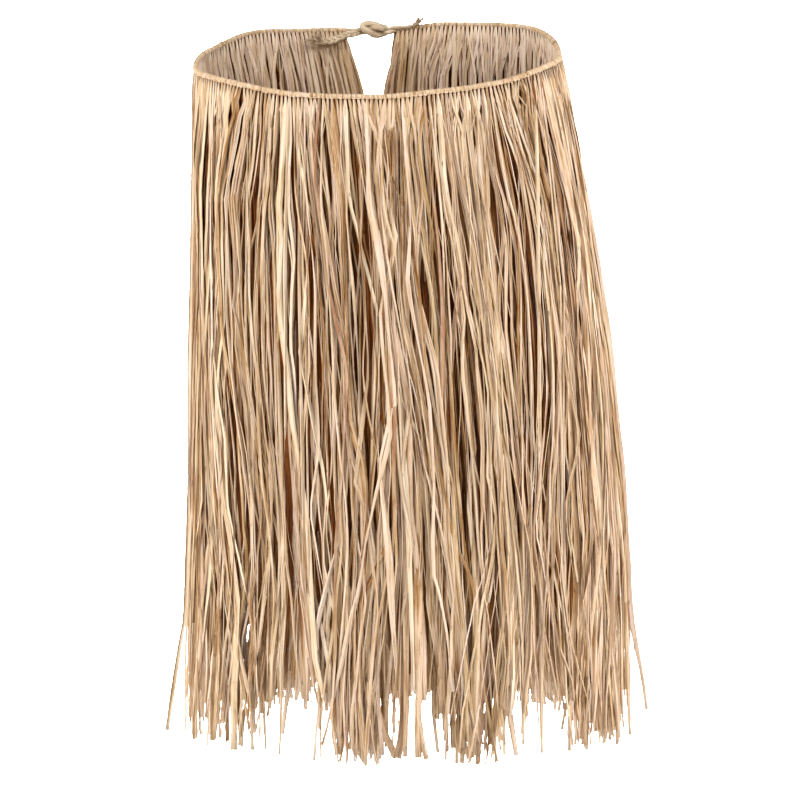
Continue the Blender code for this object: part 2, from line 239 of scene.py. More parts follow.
# the skirt's form, in metres: as its solids, but up to 5 mm narrower on the left, and less parted in front
form = {
    # plan at each drop below the waist
    "drop": (0.000, 0.050, 0.160, 0.315, 0.515, 0.760),
    "left": (0.1965, 0.1955, 0.1940, 0.1960, 0.2000, 0.2050),
    "right": (0.1965, 0.2045, 0.2245, 0.2465, 0.2665, 0.2720),
    "front": (0.146, 0.149, 0.153, 0.155, 0.155, 0.152),
    "back": (0.146, 0.147, 0.148, 0.149, 0.149, 0.148),
    # squareness of the plan: 2 is an ellipse, less is more pointed, more is boxier
    "frontShape": (1.85, 1.90, 2.00, 2.05, 2.10, 2.10),
    "backLeftShape": (2.35, 2.30, 2.20, 2.20, 2.20, 2.20),
    "backRightShape": (2.70, 2.50, 2.30, 2.20, 2.20, 2.20),
    # how the cord rises and dips round the waist: degrees from the front, height
    "cordHeights": (
        (-180, 0.0008), (-150, 0.0030), (-132, 0.0060), (-110, -0.0025), (-90, -0.0050), (-62, -0.0020),
        (-35, -0.0045), (0, -0.0024), (30, 0.0012), (50, 0.0028), (75, 0.0080), (95, 0.0075),
        (120, 0.0145), (150, 0.0095), (172, 0.0030), (180, 0.0008),
    ),
    "levelAt": 0.20,  # the drop where the waist's ups and downs have faded out
    # the V at the back: drop, x of its left edge, x of its right edge
    "slit": (
        (0.000, -0.0370, 0.0230), (0.072, -0.0200, 0.0160), (0.156, -0.0005, 0.0085),
        (0.400, 0.0170, 0.0270), (0.760, 0.0270, 0.0370),
    ),
    "slitReach": 0.16,
    # place round the waist (0 front, 1 back, negative left), half opening, reach, drop where it opens,
    # drop where it is widest, and drop where it has closed, unless it stays open
    "partings": (
        (-0.202, 0.0210, 0.105, 0.470, 0.745), (0.225, 0.0190, 0.100, 0.470, 0.745),
        (-0.018, 0.0030, 0.022, 0.640, 0.745), (0.036, 0.0030, 0.022, 0.640, 0.745),
        (-0.460, 0.0080, 0.060, 0.560, 0.745), (0.555, 0.0080, 0.060, 0.560, 0.745),
        (-0.630, 0.0110, 0.060, 0.520, 0.745), (-0.930, 0.0100, 0.060, 0.540, 0.745),
        (0.900, 0.0090, 0.055, 0.560, 0.745), (0.640, 0.0110, 0.060, 0.500, 0.745),
        (-0.285, 0.0030, 0.050, 0.330, 0.450, 0.560), (0.335, 0.0030, 0.050, 0.330, 0.450, 0.560),
        (-0.270, 0.0020, 0.030, 0.040, 0.110, 0.200), (0.235, 0.0020, 0.030, 0.030, 0.080, 0.150),
    ),
}


def smoothStep(value, start, end):
    part = np.clip((value - start) / (end - start), 0, 1)
    return part * part * (3 - 2 * part)


def easedTable(rows, place):
    places = np.array([row[0] for row in rows])
    values = np.array([row[1] for row in rows])
    after = np.clip(np.searchsorted(places, place, side="right"), 1, len(places) - 1)
    part = smoothStep(place, places[after - 1], places[after])
    return values[after - 1] + (values[after] - values[after - 1]) * part


# the plan curves on a grid of drops and of fractions of the way round, measured from the front centre
gridDrops = np.linspace(0, 0.80, 81)
gridPlaces = np.linspace(-1.2, 1.2, 961)
planX = np.zeros((len(gridDrops), len(gridPlaces)))
planY = np.zeros_like(planX)
halfLeft, halfRight, slitLeft, slitRight = (np.zeros(len(gridDrops)) for column in range(4))


def makePlans():
    turn = np.linspace(-1.25 * math.pi, 1.25 * math.pi, 721)
    sine, cosine = np.sin(turn), np.cos(turn)
    slit = np.array(form["slit"])
    for row, drop in enumerate(gridDrops):
        left, right, front, back, frontShape, backLeft, backRight = (
            np.interp(drop, form["drop"], form[key]) for key in
            ("left", "right", "front", "back", "frontShape", "backLeftShape", "backRightShape"))
        shape = np.where(cosine > 0, frontShape, np.where(sine < 0, backLeft, backRight))
        depth = np.where(cosine > 0, front, back)
        x = (right - left) / 2 + (right + left) / 2 * np.sign(sine) * np.abs(sine) ** (2 / shape)
        y = -depth * np.sign(cosine) * np.abs(cosine) ** (2 / shape)
        along = np.concatenate(([0], np.cumsum(np.hypot(np.diff(x), np.diff(y)))))
        along -= np.interp(0, turn, along)
        halfLeft[row] = -np.interp(-math.pi, turn, along)
        halfRight[row] = np.interp(math.pi, turn, along)
        target = gridPlaces * np.where(gridPlaces > 0, halfRight[row], halfLeft[row])
        planX[row] = np.interp(target, along, x)
        planY[row] = np.interp(target, along, y)
        leftX, rightX = (np.interp(drop, slit[:, 0], slit[:, column]) for column in (1, 2))
        onLeft = along < -0.6 * halfLeft[row]  # the back of each half, where x runs one way
        onRight = along > 0.6 * halfRight[row]
        slitLeft[row] = np.interp(-leftX, -x[onLeft], along[onLeft])
        slitRight[row] = np.interp(-rightX, -x[onRight], along[onRight])


makePlans()


def halfLength(side, drop):
    return np.where(side > 0, np.interp(drop, gridDrops, halfRight), np.interp(drop, gridDrops, halfLeft))


def planPoint(along, drop):
    place = along / halfLength(along, drop)
    row = np.clip(drop / gridDrops[1], 0, len(gridDrops) - 1.001)
    column = np.clip((place - gridPlaces[0]) / (gridPlaces[1] - gridPlaces[0]), 0, len(gridPlaces) - 1.001)
    top, left = row.astype(int), column.astype(int)
    down, across = row - top, column - left
    corners = ((top, left, (1 - down) * (1 - across)), (top, left + 1, (1 - down) * across),
               (top + 1, left, down * (1 - across)), (top + 1, left + 1, down * across))
    return (sum(planX[r, c] * share for r, c, share in corners),
            sum(planY[r, c] * share for r, c, share in corners))


def planFrame(along, drop):
    # a point of the plan, and the unit vectors along it and outwards
    step = 0.002
    x, y = planPoint(along, drop)
    aheadX, aheadY = planPoint(along + step, drop)
    behindX, behindY = planPoint(along - step, drop)
    tangent = np.stack((aheadX - behindX, aheadY - behindY, np.zeros_like(x)), -1)
    tangent /= np.linalg.norm(tangent, axis=-1, keepdims=True)
    outside = np.stack((tangent[..., 1], -tangent[..., 0], np.zeros_like(x)), -1)
    return x, y, tangent, outside


def cordHeight(x, y):
    return easedTable(form["cordHeights"], np.degrees(np.arctan2(x, -y)))


def partedShift(partings, place, drop):
    moved = np.zeros_like(drop)
    for start, opening, reach, opens, widest, *closes in partings:
        away = place * halfLength(place, drop) - start * halfLength(start, drop)
        amount = np.clip((drop - opens) / (widest - opens), 0, 1) ** 2
        if closes:
            amount = amount * (1 - smoothStep(drop, widest, closes[0]))
        moved = moved + np.sign(away) * opening * np.clip(1 - np.abs(away) / reach, 0, None) * amount
    return moved


def fallingShift(place, drop):
    # how far a strip moves along as it falls: the V closes and the strips part
    moved = np.zeros_like(drop)
    for edges, half in ((slitLeft, halfLeft[0]), (slitRight, halfRight[0])):
        away = np.abs(edges[0] - place * halfLength(place, 0 * drop))
        target = np.interp(drop, gridDrops, edges) - edges[0] / half * halfLength(edges[0], drop)
        moved = moved + target * np.clip(1 - away / form["slitReach"], 0, None)
    return moved + partedShift(form["partings"], place, drop)


# strips of raffia: each is a closed ribbon of six lengthwise edges, creased where the leaf folds
ringSize = 6
roundRibbon = np.linspace(0, 2, ringSize + 1)[None, :]  # ribbon widths: across the front and back again


def smoothNoise(rng, waves, drop):
    # one smooth random line down each strip, mostly between -1 and 1; waves are turns in the whole length
    total = np.zeros_like(drop)
    for wave in waves:
        size = rng.normal(0, 1, (len(drop), 1)) / math.sqrt(len(waves))
        turn = rng.uniform(0, 1, (len(drop), 1))
        speed = wave * rng.uniform(0.7, 1.3, (len(drop), 1))
        total += size * np.sin(2 * math.pi * (speed * (drop / fringe["length"]) + turn))
    return total


def unit(vectors):
    return vectors / np.maximum(np.linalg.norm(vectors, axis=-1, keepdims=True), 1e-9)


def travelledAlong(route):
    return np.concatenate(([0], np.cumsum(np.linalg.norm(np.diff(route, axis=0), axis=1))))


def ribbonCorners(line, side, twist, half, lifts, creases, thickness):
    # line and side are (strips, levels, 3); the six corners run left, two creases, right and back again
    ahead = unit(np.gradient(line, axis=1))
    side = unit(side - ahead * np.sum(side * ahead, -1, keepdims=True))
    front = np.cross(ahead, side)
    turned = side * np.cos(twist)[..., None] + front * np.sin(twist)[..., None]
    face = front * np.cos(twist)[..., None] - side * np.sin(twist)[..., None]
    corners = np.zeros(line.shape[:2] + (ringSize, 3))
    for slot, (edge, back) in enumerate(((0, 0), (1, 0), (2, 0), (3, 0), (2, 1), (1, 1))):
        across = creases[:, None, edge] * half
        lift = lifts[:, :, edge] * half - back * thickness
        corners[:, :, slot] = line + turned * across[..., None] + face * lift[..., None]
    return corners


def tubeMesh(name, corners, across, length, turning, margins, material):
    # closed tubes with capped ends: corners is (tubes, levels, ring, 3), across (tubes, ring + 1) and
    # length (tubes, levels) are mm round and along; turning is -1 where the ring runs the other way round
    count, levels, size = corners.shape[:3]
    tube, level, turn = (grid[..., None] for grid in np.meshgrid(
        np.arange(count), np.arange(levels - 1), np.arange(size), indexing="ij"))
    step = np.array(((0, 0), (1, 0), (1, 1), (0, 1)))[:, ::turning]
    quadAt = [grid.ravel() for grid in np.broadcast_arrays(tube, level + step[:, 0], turn + step[:, 1])]
    quads = (quadAt[0] * levels + quadAt[1]) * size + quadAt[2] % size
    ring = np.arange(size)[::turning]
    caps = np.concatenate([(((np.arange(count) * levels + end) * size)[:, None] + order).ravel()
                           for end, order in ((0, ring), (levels - 1, ring[::-1]))])
    capAt = (caps // size // levels, caps // size % levels, caps % size)
    starts = np.concatenate((np.arange(0, len(quads), 4), len(quads) + np.arange(0, len(caps), size)))
    mesh = bpy.data.meshes.new(name)
    mesh.vertices.add(corners.size // 3)
    mesh.vertices.foreach_set("co", corners.astype(np.float32).ravel())
    mesh.loops.add(len(quads) + len(caps))
    mesh.loops.foreach_set("vertex_index", np.concatenate((quads, caps)).astype(np.int32))
    mesh.polygons.add(len(starts))
    mesh.polygons.foreach_set("loop_start", starts.astype(np.int32))
    mesh.polygons.foreach_set("use_smooth", np.ones(len(starts), bool))
    mesh.update(calc_edges=True)

    # maps: grain is in mm, OFBake gives each tube a lane of its own with margins round it
    tube, level, turn = (np.concatenate(pair) for pair in zip(quadAt, capAt))
    beside, beyond = margins
    grain = np.stack((across[tube, turn], length[tube, level]), -1)
    lane = np.stack(((tube + beside + (1 - 2 * beside) * turn / size) / count,
                     beyond + (1 - 2 * beyond) * level / (levels - 1)), -1)
    for mapName, values in (("OFBake", lane), ("grain", grain)):
        mesh.uv_layers.new(name=mapName).uv.foreach_set("vector", values.astype(np.float32).ravel())
    mesh.materials.append(material)
    piece = placed(name, mesh)
    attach(piece, "root")
    return piece


def stripMesh(name, corners, tone, across, material=raffiaMaterial):
    # corners (strips, levels, six, 3), tone (strips, levels, 4), across (strips, seven): mm round the ribbon
    travelled = np.cumsum(np.linalg.norm(np.diff(corners[:, :, 0], axis=1), axis=-1), axis=1)
    length = np.concatenate((np.zeros((len(corners), 1)), travelled), axis=1) / mm
    piece = tubeMesh(name, corners, across, length, 1, (0.06, 0.004), material)
    mesh = piece.data
    toneLayer = mesh.attributes.new("stripTone", "FLOAT_COLOR", "POINT")
    toneLayer.data.foreach_set("color", np.repeat(tone, ringSize, axis=1).astype(np.float32).ravel())

    # crisp creases: the lengthwise edges are sharp
    ends = np.zeros(len(mesh.edges) * 2, np.int32)
    mesh.edges.foreach_get("vertices", ends)
    sharp = mesh.attributes.new("sharp_edge", "BOOLEAN", "EDGE")
    sharp.data.foreach_set("value", np.abs(ends[::2] - ends[1::2]) == ringSize)
    return piece


# the cords: one twisted waist cord, its reef knot at the back and the two free ends
cords = {
    "waistRadius": 0.0024,
    "tieRadius": 0.0022,
    # the bundles spread out flat where they are tied: how wide and how thick, in tie radii
    "leftFlat": (1.20, 0.75),
    "rightFlat": (1.60, 0.74),
    "intoKnot": 0.0025,
    "legLength": 0.003,
    "knotCentre": (-0.0049, 0.1452, 0.0020),
    "knotLean": 16,  # degrees
    # each turn of the knot in the knot's own axes, in tie radii: along, across, through
    "leftTurn": (
        (-7.0, 0.2, -0.3), (-4.6, 0.6, -0.8), (-2.2, 0.9, -0.9), (-0.2, 1.2, 0.5), (1.6, 1.2, 1.7),
        (3.2, 0.8, 1.9), (4.5, 0.2, 1.2), (4.4, -0.4, 0.0), (3.2, -0.6, -1.0), (1.2, -0.8, -1.3),
        (-1.6, -0.8, -1.5), (-4.4, -1.0, -0.9), (-7.0, -1.4, -0.2),
    ),
    "rightTurn": (
        (7.0, 0.9, 0.2), (4.6, 1.5, 0.4), (2.2, 2.4, 0.2), (-0.5, 3.1, 0.0), (-3.2, 3.2, 0.1),
        (-5.1, 2.2, 0.7), (-4.9, 0.9, 1.6), (-3.2, -0.2, 2.2), (-1.2, -1.6, 2.1), (0.3, -2.3, 1.2),
        (2.0, -2.5, 0.0), (3.7, -2.1, -0.6), (5.2, -1.5, -0.5), (7.0, -1.2, 0.0),
    ),
    # the free ends, from the knot outwards: x, y, z
    "leftEnd": (
        (-0.0270, 0.1405, -0.0010), (-0.0350, 0.1378, -0.0020), (-0.0430, 0.1352, -0.0048),
        (-0.0510, 0.1332, -0.0070), (-0.0590, 0.1318, -0.0074), (-0.0650, 0.1308, -0.0062),
    ),
    "rightEnd": (
        (0.0160, 0.1436, 0.0052), (0.0240, 0.1424, 0.0060), (0.0320, 0.1418, 0.0068),
        (0.0390, 0.1416, 0.0082), (0.0440, 0.1416, 0.0112),
    ),
    # the left end is a plait of three strands: half width and half depth of its weave, the length of one
    # weave, strand radius, and the length over which it opens
    "plait": (0.0022, 0.0010, 0.0200, 0.0019, 0.006),
    "ringStep": 0.0012,
    "sides": 18,
    # plies, lay (metres for one full twist) and how deep the grooves between the plies are
    "waistTwist": (3, 0.020, 0.22),
    "knotTwist": (6, 0.700, 0.42),
    "leftTwist": (5, 0.050, 0.22),
    "rightTwist": (4, 0.045, 0.22),
    "leftFullness": 1.68,
    "rightFullness": 1.0,
    "waistSwell": 0.18,  # fuller at both ends, where the loops stop
    # loose fibres: how many, length (m), width (mm), how far they spread, and which way they point
    "leftFray": (80, (0.006, 0.014), (0.6, 1.5), 0.60, (0.0, -0.2, 0.1)),
    "rightFray": (60, (0.005, 0.0110), (0.7, 1.8), 0.46, (-0.1, -0.1, 0.6)),
    "knotFray": (16, (0.005, 0.010), (0.3, 0.7), 0.9, (0.0, -0.5, 0.0)),
    "frayLevels": 7,
    "frayBend": 0.35,
    "frayThickness": 0.14,  # mm
}


def smoothRoute(points, spacing):
    # evenly spaced points on a smooth curve through the given ones
    stops = [np.array(point, float) for point in points]
    stops = [stops[0] * 2 - stops[1]] + stops + [stops[-1] * 2 - stops[-2]]
    part = np.linspace(0, 1, 24, endpoint=False)[:, None]
    fine = np.concatenate([
        0.5 * (2 * start + (end - before) * part + (2 * before - 5 * start + 4 * end - after) * part ** 2
               + (3 * start - before - 3 * end + after) * part ** 3)
        for before, start, end, after in zip(stops, stops[1:], stops[2:], stops[3:])] + [stops[-2][None, :]])
    travelled = travelledAlong(fine)
    wanted = np.linspace(0, travelled[-1], max(2, round(travelled[-1] / spacing)) + 1)
    return np.stack([np.interp(wanted, travelled, fine[:, axis]) for axis in range(3)], 1)


def knotPoint(along, across, through):
    lean = math.radians(cords["knotLean"])
    turned = (along, across * math.sin(lean) - through * math.cos(lean),
              across * math.cos(lean) + through * math.sin(lean))
    return np.array(cords["knotCentre"]) + np.array(turned) * cords["tieRadius"]


def leadingOut(end, before):
    onwards = (end - before) / np.linalg.norm(end - before)
    return [end - onwards * cords["intoKnot"], end + onwards * cords["legLength"]]


def addRope(name, node, routes, radius, twist, grow=None, flat=None):
    # a laid cord, or a plait of several: the ring has one lobe for each ply, and turns along the route
    # flat is how wide and how thick a bundle is, and the way that it faces
    plies, lay, groove = twist
    sides = cords["sides"]
    wide = flat[0] / flat[1] if flat else 1.0
    radius = radius * flat[1] if flat else radius
    angle = np.linspace(0, 2 * math.pi, sides, endpoint=False)[None, :]
    corners = []
    for route in routes:
        ahead = unit(np.gradient(route, axis=0))
        across = np.zeros_like(route)
        across[0] = np.cross(ahead[0], (0, 0, 1))
        for ring in range(len(route)):
            carried = across[max(ring - 1, 0)]
            across[ring] = unit(carried - ahead[ring] * carried.dot(ahead[ring]))
        if flat:
            across = unit(np.cross(flat[2], ahead))
        over = np.cross(ahead, across)
        travelled = travelledAlong(route)
        lobe = np.abs(np.cos(plies * angle / 2)) + np.zeros((len(route), 1))
        turned = angle + (0 if flat else 2 * math.pi) * travelled[:, None] / lay
        swell = 1.0 if grow is None else grow(travelled / travelled[-1])[:, None]
        size = radius * (1 - groove + groove * lobe) * swell
        corners.append(route[:, None] + size[..., None] * (
            across[:, None] * wide * np.cos(turned)[..., None] + over[:, None] * np.sin(turned)[..., None]))
    around = np.arange(sides + 1) / sides * 2 * math.pi * radius / mm + np.zeros((len(routes), 1))
    length = np.stack([travelledAlong(route) for route in routes]) / mm
    rope = tubeMesh(name, np.stack(corners), around, length, -1, (0.02, 0.01), cordMaterial)
    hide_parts(node)
    return rope


def plaited(route, facing):
    # three strands that weave from side to side along the route
    wide, deep, weave, radius, opening = cords["plait"]
    ahead = unit(np.gradient(route, axis=0))
    across = unit(np.cross(facing, ahead))
    travelled = travelledAlong(route)
    eased = smoothStep(travelled, 0, opening)[:, None]
    over = np.array(facing)
    turns = [2 * math.pi * (travelled / weave + strand / 3)[:, None] for strand in range(3)]
    return [route + across * wide * np.sin(turn) * eased + over * deep * np.sin(2 * turn) * eased
            for turn in turns], radius


def addFray(name, roots, seed, fray):
    # loose fibres that stand out from a cord: roots are (fibres, 3)
    count, reach, widths, spread, towards = fray
    rng = np.random.default_rng(seed)
    part = np.linspace(0, 1, cords["frayLevels"])[None, :, None]
    length = rng.uniform(*reach, (count, 1, 1))
    heading = unit(np.array(towards) + rng.normal(0, spread, (count, 3)))[:, None, :]
    bend = rng.normal(0, cords["frayBend"], (count, 1, 3))
    line = roots[:, None, :] + length * (heading * part + bend * part ** 2)
    side = unit(np.cross(heading, rng.normal(0, 1, (count, 1, 3)))) + 0 * line
    half = rng.uniform(*widths, (count, 1)) / 2 * mm * (1 - 0.6 * part[..., 0] ** 2)
    lifts = np.tile((0.0, 0.3, 0.3, 0.0), half.shape + (1,))
    creases = np.tile((-1.0, -0.4, 0.4, 1.0), (count, 1))
    corners = ribbonCorners(line, side, 0 * half, half, lifts, creases, cords["frayThickness"] * mm)
    tone = np.ones(corners.shape[:2] + (4,)) * 0.6
    return stripMesh(name, corners, tone, roundRibbon / 2 * np.ones((count, 1)), cordMaterial)


def addCords():
    step, tie = cords["ringStep"], cords["tieRadius"]
    lean = math.radians(cords["knotLean"])
    facing = (0.0, -math.cos(lean), math.sin(lean))
    rng = np.random.default_rng(4)
    left, right = (smoothRoute([knotPoint(*row) for row in cords[turn]], tie)
                   for turn in ("leftTurn", "rightTurn"))
    for name, node, stops, flat in (("tieKnotLeft", "tie_knot_left", left, cords["leftFlat"]),
                                    ("tieKnotRight", "tie_knot_right", right, cords["rightFlat"])):
        addRope(name, node, [smoothRoute(stops, step)], tie, cords["knotTwist"], None, flat + (facing,))
    middles = np.concatenate((left, right))
    addFray("knotFray", middles[rng.integers(0, len(middles), cords["knotFray"][0])], 5, cords["knotFray"])

    ends = (
        # name, node, start, side, how it swells towards its free end, seed of its fray
        ("tieEndLeft", "tie_end_left", leadingOut(left[-1], left[-2]), "left",
         lambda part: 1 - 0.25 * smoothStep(part, 0.8, 1.0), 6),
        ("tieEndRight", "tie_end_right", leadingOut(right[0], right[1]), "right",
         lambda part: 1 - 0.12 * smoothStep(part, 0.2, 0.7) + 0.20 * smoothStep(part, 0.85, 1.0), 7),
    )
    for name, node, leg, side, grow, seed in ends:
        route = smoothRoute(leg + [np.array(stop) for stop in cords[side + "End"]], step)
        full = tie * cords[side + "Fullness"]
        strands, radius = plaited(route, facing) if side == "left" else ([route], full)
        rope = addRope(name, node, strands, radius, cords[side + "Twist"], grow)
        count, *manner, towards = cords[side + "Fray"]
        onwards = unit(route[-1] - route[-4])
        roots = route[-rng.integers(1, 7, count)] + rng.normal(0, 0.4, (count, 3)) * full
        fray = addFray(name + "Fray", roots, seed, (count, *manner, tuple(onwards + np.array(towards))))

    waist = np.linspace(slitLeft[0], slitRight[0], 95)
    x, y = planPoint(waist, np.zeros_like(waist))
    leftLeg, rightLeg = leadingOut(left[0], left[1]), leadingOut(right[-1], right[-2])
    route = leftLeg + list(np.stack((x, y, cordHeight(x, y)), 1)) + rightLeg[::-1]
    addRope("waistCord", "waist_cord", [smoothRoute(route, 1.25 * step)], cords["waistRadius"],
            cords["waistTwist"], lambda part: 1 + cords["waistSwell"] * (
                1 - smoothStep(part, 0.008, 0.016) + smoothStep(part, 0.984, 0.992)))


addCords()
print("cords made")


